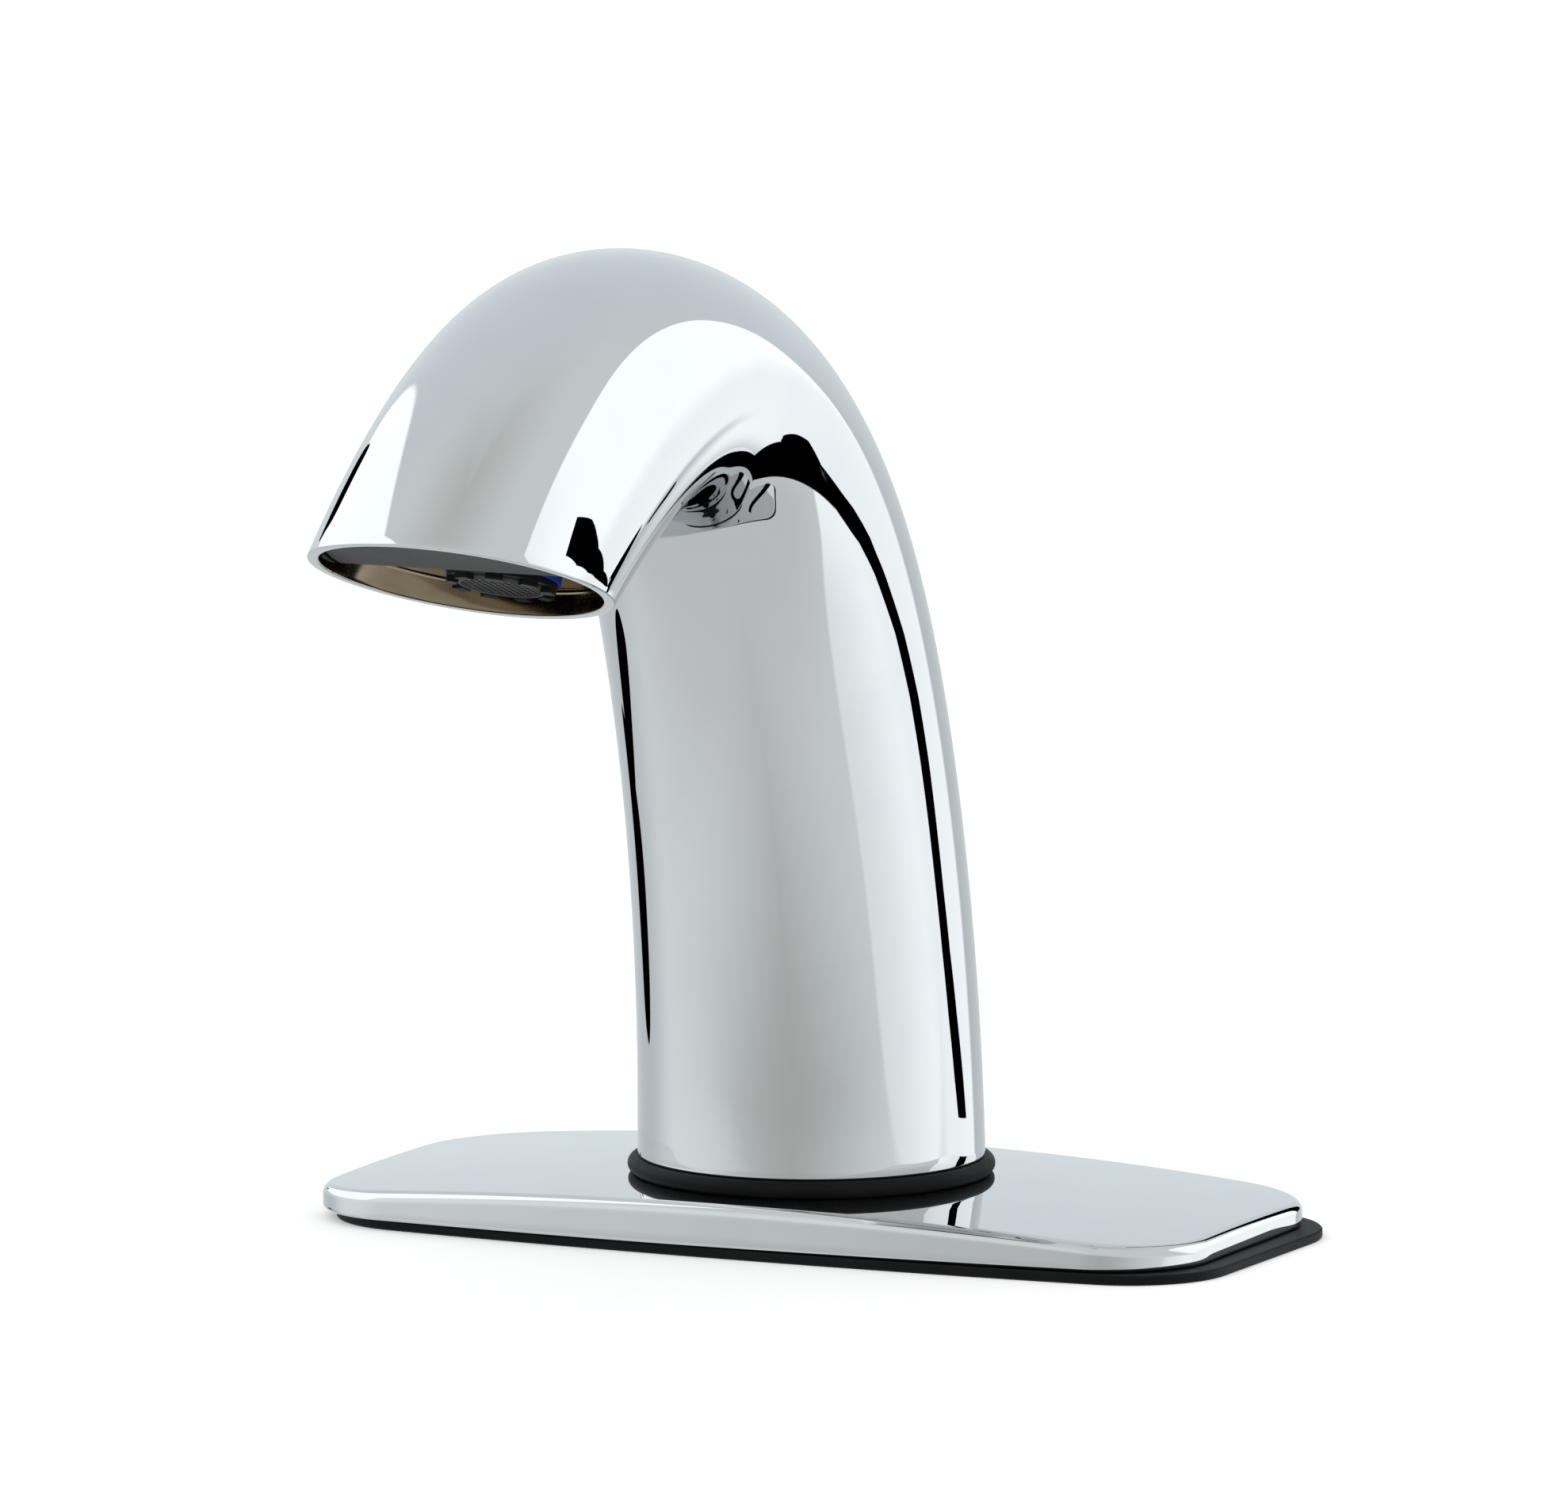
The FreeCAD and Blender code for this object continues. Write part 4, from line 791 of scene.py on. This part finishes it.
strides = np.diff(shares) * SPINE_LENGTH
middles = heading((shares[1:] + shares[:-1]) / 2)
spine_y = np.concatenate([[0.0], np.cumsum(-np.sin(middles) * strides)])
spine_z = np.concatenate([[0.0], np.cumsum(np.cos(middles) * strides)])
spine_y -= np.interp(0.0, shares, spine_y)
spine_z += SPOUT_FOOT - np.interp(0.0, shares, spine_z)
bearings = np.linspace(0, 2 * math.pi, COLUMNS, endpoint=False)
outlet_middle = np.array([0.0, np.interp(1.0, shares, spine_y), np.interp(1.0, shares, spine_z)])
outlet_normal = np.array(up_bore)


def shell(share, inset):
    """Points of the oval shell, one for each bearing, at the bearings' own shares of the spine."""
    waist = np.exp(-((share - WAIST_PLACE) / WAIST_SPAN) ** 2)
    width = FOOT_RADIUS + (OUTLET_HALF_WIDTH - FOOT_RADIUS) * share - WAIST_WIDTH * waist - inset
    depth = FOOT_RADIUS + (OUTLET_HALF_DEPTH - FOOT_RADIUS) * share - WAIST_DEPTH * waist - inset
    lean = heading(share)
    out = depth * np.sin(bearings)
    y = np.interp(share, shares, spine_y) + out * np.cos(lean)
    z = np.interp(share, shares, spine_z) + out * np.sin(lean)
    return np.stack([width * np.cos(bearings), y, z], axis=1)


def share_where(measure, low, high, inset):
    """The share at which each bearing's line crosses zero on a measure that falls along the spine."""
    low = np.full(COLUMNS, low)
    high = np.full(COLUMNS, high)
    for _ in range(HALVINGS):
        middle = (low + high) / 2
        beyond = measure(shell(middle, inset)) < 0
        high = np.where(beyond, middle, high)
        low = np.where(beyond, low, middle)
    return (low + high) / 2


def near_outlet(height, inset):
    """Shares at which the shell is at a height above the outlet's plane."""
    return share_where(lambda points: (points - outlet_middle) @ outlet_normal - height,
                       HEAD_SHARE, HIGH_SHARE, inset)


def near_foot(height, inset):
    """Shares at which the shell is at a height above the deck."""
    return share_where(lambda points: height - points[:, 2], LOW_SHARE, FOOT_SHARE, inset)


def towards(point, other, run):
    """Points moved by a run towards others."""
    gap = other - point
    return point + gap * (run / np.linalg.norm(gap, axis=1))[:, None]


foot_share = near_foot(SPOUT_FOOT + FOOT_EASE, 0.0)
rim_share = near_outlet(RIM_EASE, 0.0)
spout_loops = [shell(foot_share + (rim_share - foot_share) * row / ROWS, 0.0) for row in range(ROWS)]
bore = SPOUT_WALL - COUNTERBORE
outer_rim = shell(near_outlet(0.0, 0.0), 0.0)
inner_rim = shell(near_outlet(0.0, bore), bore)
rim_edge = towards(outer_rim, inner_rim, RIM_EASE)
spout_loops += round_over(shell(rim_share, 0.0), outer_rim, rim_edge, EASE_STEPS)
bore_start = len(spout_loops)
spout_loops += round_over(towards(inner_rim, outer_rim, RIM_EASE), inner_rim,
                          shell(near_outlet(RIM_EASE, bore), bore), EASE_STEPS)
for share in COUNTERBORE_SHARES:
    spout_loops.append(shell(near_outlet(COUNTERBORE_TOP * share, bore), bore))
step_share = near_outlet(COUNTERBORE_TOP, SPOUT_WALL)
inner_foot = near_foot(SPOUT_FOOT, SPOUT_WALL)
spout_loops += [shell(step_share + (inner_foot - step_share) * row / INNER_ROWS, SPOUT_WALL)
                for row in range(INNER_ROWS + 1)]
bore_end = len(spout_loops)
outer_foot = shell(near_foot(SPOUT_FOOT, 0.0), 0.0)
foot_edge = towards(outer_foot, spout_loops[-1], FOOT_EASE)
spout_loops += round_over(foot_edge, outer_foot, shell(foot_share, 0.0), EASE_STEPS)[:-1]
spout = closed_loops("spout_casting", spout_loops, chrome)
spout.data.materials.append(nickel)
for index, face in enumerate(spout.data.polygons):
    row = index // COLUMNS
    if bore_start <= row < bore_end - 1:
        face.material_index = 1
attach(spout, "faucet")
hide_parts("spout_body")


# Studio
# White surroundings with a large round light behind on the right, another on the left and black cards.
# The chrome mirrors them and three more cards close by, and the camera sees only plain white.

DEGREES = 180 / math.pi
SOFT_EDGE = 0.012
WHITE = (1.0, 1.0, 1.0, 1)
BLACK = (0.0, 0.0, 0.0, 1)

world = bpy.data.worlds.new("studio")
bpy.context.scene.world = world
world.use_nodes = True
studio = Shade(world.node_tree)
direction = studio.add("ShaderNodeTexCoord", output="Generated")
east, north, upward = (studio.add("ShaderNodeSeparateXYZ", inputs={"Vector": direction}, output=axis)
                       for axis in "XYZ")
height = studio.maths("ARCSINE", upward) * DEGREES
bearing = studio.maths("ARCTAN2", east, 0 - north) * DEGREES


def patch(middle, level, half_width, half_height, power, slant=0.0, soft=SOFT_EDGE):
    """Mask of a rounded patch of the surroundings, in degrees of bearing and height."""
    across = studio.maths("WRAP", bearing - middle - (height - level) * slant, 180.0, -180.0)
    wide = studio.maths("POWER", studio.maths("ABSOLUTE", across) / half_width, power)
    high = studio.maths("POWER", studio.maths("ABSOLUTE", height - level) / half_height, power)
    return 1 - (wide + high).rise(1 - soft * power, 1 + soft * power)


def glow(level):
    """A slightly bluish white of a given strength."""
    return (0.965 * level, level, 1.015 * level, 1)


BACK_AREA = (204.0, 5.0, 62.0, 75.0, 2.0, 0.0, 0.3)
FRONT_GLOW = (-58.0, 16.0, 46.0, 26.0, 2.0, 0.0, 0.45)
RIGHT_LIGHT = (134.0, 20.0, 29.0, 29.0, 2.6, -0.3)
LEFT_LIGHT = (-91.3, 12.0, 44.0, 52.0, 2.0, 0.4)
LOW_WHITE = (103.0, -22.5, 30.0, 15.0, 3.0, 0.0, 0.05)
SIDE_WHITE = (148.0, -16.0, 27.0, 20.0, 2.2, 0.0, 0.25)
HOOK = (153.0, -27.0, 32.5, 19.5, 2.2)
HOOK_MOUTH = (170.0, -18.5, 39.5, 11.0, 2.5)
LEFT_CARDS = ((-115.5, -14.0, 6.8, 3.0, 3.0), (-111.0, -20.5, 3.4, 5.6, 3.0, -1.16),
              (-133.2, 9.0, 1.9, 3.4, 4.0, 0.8))
SKY_TONE = (0.88, 0.915, 0.92, 1)
OVERHEAD_TONE = (0.66, 0.68, 0.645, 1)
BACK_TONE = (0.81, 0.885, 0.915, 1)
LOW_TONE = (0.78, 0.80, 0.79, 1)
SIDE_TONE = (1.00, 1.05, 1.06, 1)
AHEAD_TONE = (0.58, 0.60, 0.58, 1)
LOW_BACK_TONE = (0.68, 0.73, 0.75, 1)
PLAIN_LIGHT = (0.95, 0.95, 0.95, 1)

back = patch(*BACK_AREA)
sky = back.blend(height.rise(56.0, 98.0).blend(SKY_TONE, OVERHEAD_TONE), BACK_TONE)
side = height.rise(-58.0, -8.0).blend(LOW_TONE, SIDE_TONE)
ahead = 1 - (studio.maths("ABSOLUTE", bearing - 11.0) / 98.0
             + studio.maths("ABSOLUTE", height + 14.0) / 52.0).rise(0.0, 1.0)
ground = back.blend(ahead.blend(side, AHEAD_TONE), LOW_BACK_TONE)
view = height.rise(-8.0, 6.0).blend(ground, sky)
view = patch(*RIGHT_LIGHT).blend(view, bearing.rise(102.0, 122.0).blend(glow(1.42), glow(1.62)))
view = patch(*FRONT_GLOW).blend(view, glow(1.12))
left_light = patch(*LEFT_LIGHT) * height.rise(8.0, 9.5)
view = left_light.blend(view, glow(1.62))
view = patch(*LOW_WHITE).blend(view, bearing.rise(72.0, 124.0).blend(glow(1.14), glow(1.46)))
side_white = patch(*SIDE_WHITE) * (1 - bearing.rise(161.0, 165.0) * height.rise(-17.0, -13.0))
view = side_white.blend(view, glow(1.40))
hook = patch(*HOOK) * (1 - patch(*HOOK_MOUTH)) * (1 - height.rise(-27.5, -26.0))
view = hook.blend(view, BLACK)
for card in LEFT_CARDS:
    view = patch(*card).blend(view, BLACK)

seen, glossy, through = (studio.add("ShaderNodeLightPath", output="Is " + kind + " Ray")
                         for kind in ("Camera", "Glossy", "Transmission"))
mirrored = studio.maths("MAXIMUM", glossy, through)
surroundings = seen.blend(mirrored.blend(PLAIN_LIGHT, view), WHITE)
backdrop = studio.tree.nodes["Background"]
studio.tree.links.new(surroundings.socket, backdrop.inputs["Color"])

FLOOR_HALF = 6.0
FLOOR_GLOW = (0.22, 0.22, 0.22, 1)
FLOOR_TONE = (0.93, 0.93, 0.93, 1)
floor_mesh = bpy.data.meshes.new("floor")
floor_corners = [(x * FLOOR_HALF, y * FLOOR_HALF, 0) for x, y in ((-1, -1), (1, -1), (1, 1), (-1, 1))]
floor_mesh.from_pydata(floor_corners, [], [(0, 1, 2, 3)])
floor = in_scene("floor", floor_mesh)
floor_paint, floor_tree = finish_of("floor_paint", Base_Color=FLOOR_TONE, Roughness=1.0,
                                    Emission_Strength=1.0, Specular_IOR_Level=0.0)
floor_ray = floor_tree.add("ShaderNodeLightPath", output="Is Camera Ray")
feed(floor_paint, Emission_Color=floor_ray.blend(BLACK, FLOOR_GLOW))
floor_mesh.materials.append(floor_paint)
floor.visible_glossy = False

FLAG_NEAR = ((74.2, -2.8, 97.6), (72.5, 4.8, 95.5), (71.8, 16.4, 87.6), (73.8, 24.9, 77), (77.5, 31.5, 65.7),
             (81.8, 37.2, 54.6), (85.9, 42.7, 43.9), (88.8, 48.4, 33.5), (90.1, 54.8, 23), (89.3, 62.6, 12.5),
             (87.8, 68.4, 6))
FLAG_FAR = ((68.6, 8.1, 103.6), (67, 14.4, 99.8), (65.2, 25.7, 90.3), (66.1, 34.8, 79.4), (69.3, 41.8, 67.9),
            (73.6, 47.7, 56.5), (77.3, 53.4, 45.3), (79, 60, 34.4), (78, 67.9, 23.7), (75.2, 76.3, 12.8),
            (73.6, 80.8, 5.8))
BEND_NEAR = ((46, -29.8, 112), (47.8, -29.1, 110.2), (48.9, -27.8, 108.8), (49.6, -24.5, 108.1),
             (49, -19.4, 107.3), (48.9, -16.5, 105.7))
BEND_FAR = ((46.6, -26.2, 116.3), (46.8, -22.6, 115.2), (47.4, -18.6, 114.2), (47.2, -15.6, 112.8),
            (46.8, -12.3, 110.9), (46.8, -10, 108.3))
SMALL_TOP = ((72, -105.5, 162), (69.5, -97.3, 150.5), (66.9, -93.1, 140.5), (64.2, -89.5, 132.5),
             (54.7, -81.5, 119), (41.3, -73.6, 109))
SMALL_FOOT = ((72, -108.4, 156), (72.8, -110, 151), (69.4, -102, 138.5), (63.5, -93.8, 128),
              (54.2, -83.1, 116.5), (46, -77, 110))


def flag(name, edge, other_edge):
    """A black card between two edges beside the object, which only mirror-bright faces see."""
    count = len(edge)
    faces = [(step, step + 1, count + step + 1, count + step) for step in range(count - 1)]
    mesh = bpy.data.meshes.new(name)
    mesh.from_pydata([Vector(point) * MM for point in edge + other_edge], [], faces)
    paint, _ = finish_of(name, Base_Color=BLACK, Roughness=1.0, Specular_IOR_Level=0.0)
    mesh.materials.append(paint)
    card = in_scene(name, mesh)
    card.visible_camera = False
    card.visible_diffuse = False
    card.visible_transmission = False
    card.visible_shadow = False


flag("black_flag", FLAG_NEAR, FLAG_FAR)
flag("bend_flag", BEND_NEAR, BEND_FAR)
flag("small_flag", SMALL_TOP, SMALL_FOOT)

CAMERA_PLACE = Vector((1.61574, -3.61432, 0.65603))
CAMERA_RIGHT = Vector((0.91247, 0.40914, 0.0))
CAMERA_BACK = Vector((0.40486, -0.90292, 0.14427))
FOCAL_PIXELS = 31235.4
PHOTO_WIDTH = 1978
SENSOR_WIDTH = 36.0
FAR_LIMIT = 100.0
camera_data = bpy.data.cameras.new("camera")
camera_data.sensor_width = SENSOR_WIDTH
camera_data.lens = FOCAL_PIXELS / PHOTO_WIDTH * SENSOR_WIDTH
camera_data.clip_end = FAR_LIMIT
camera = in_scene("camera", camera_data)
camera_up = CAMERA_BACK.cross(CAMERA_RIGHT)
camera.matrix_world = (Matrix.Translation(CAMERA_PLACE)
                       @ Matrix((CAMERA_RIGHT, camera_up, CAMERA_BACK)).transposed().to_4x4())
bpy.context.scene.camera = camera
bpy.context.scene.view_settings.view_transform = "Standard"
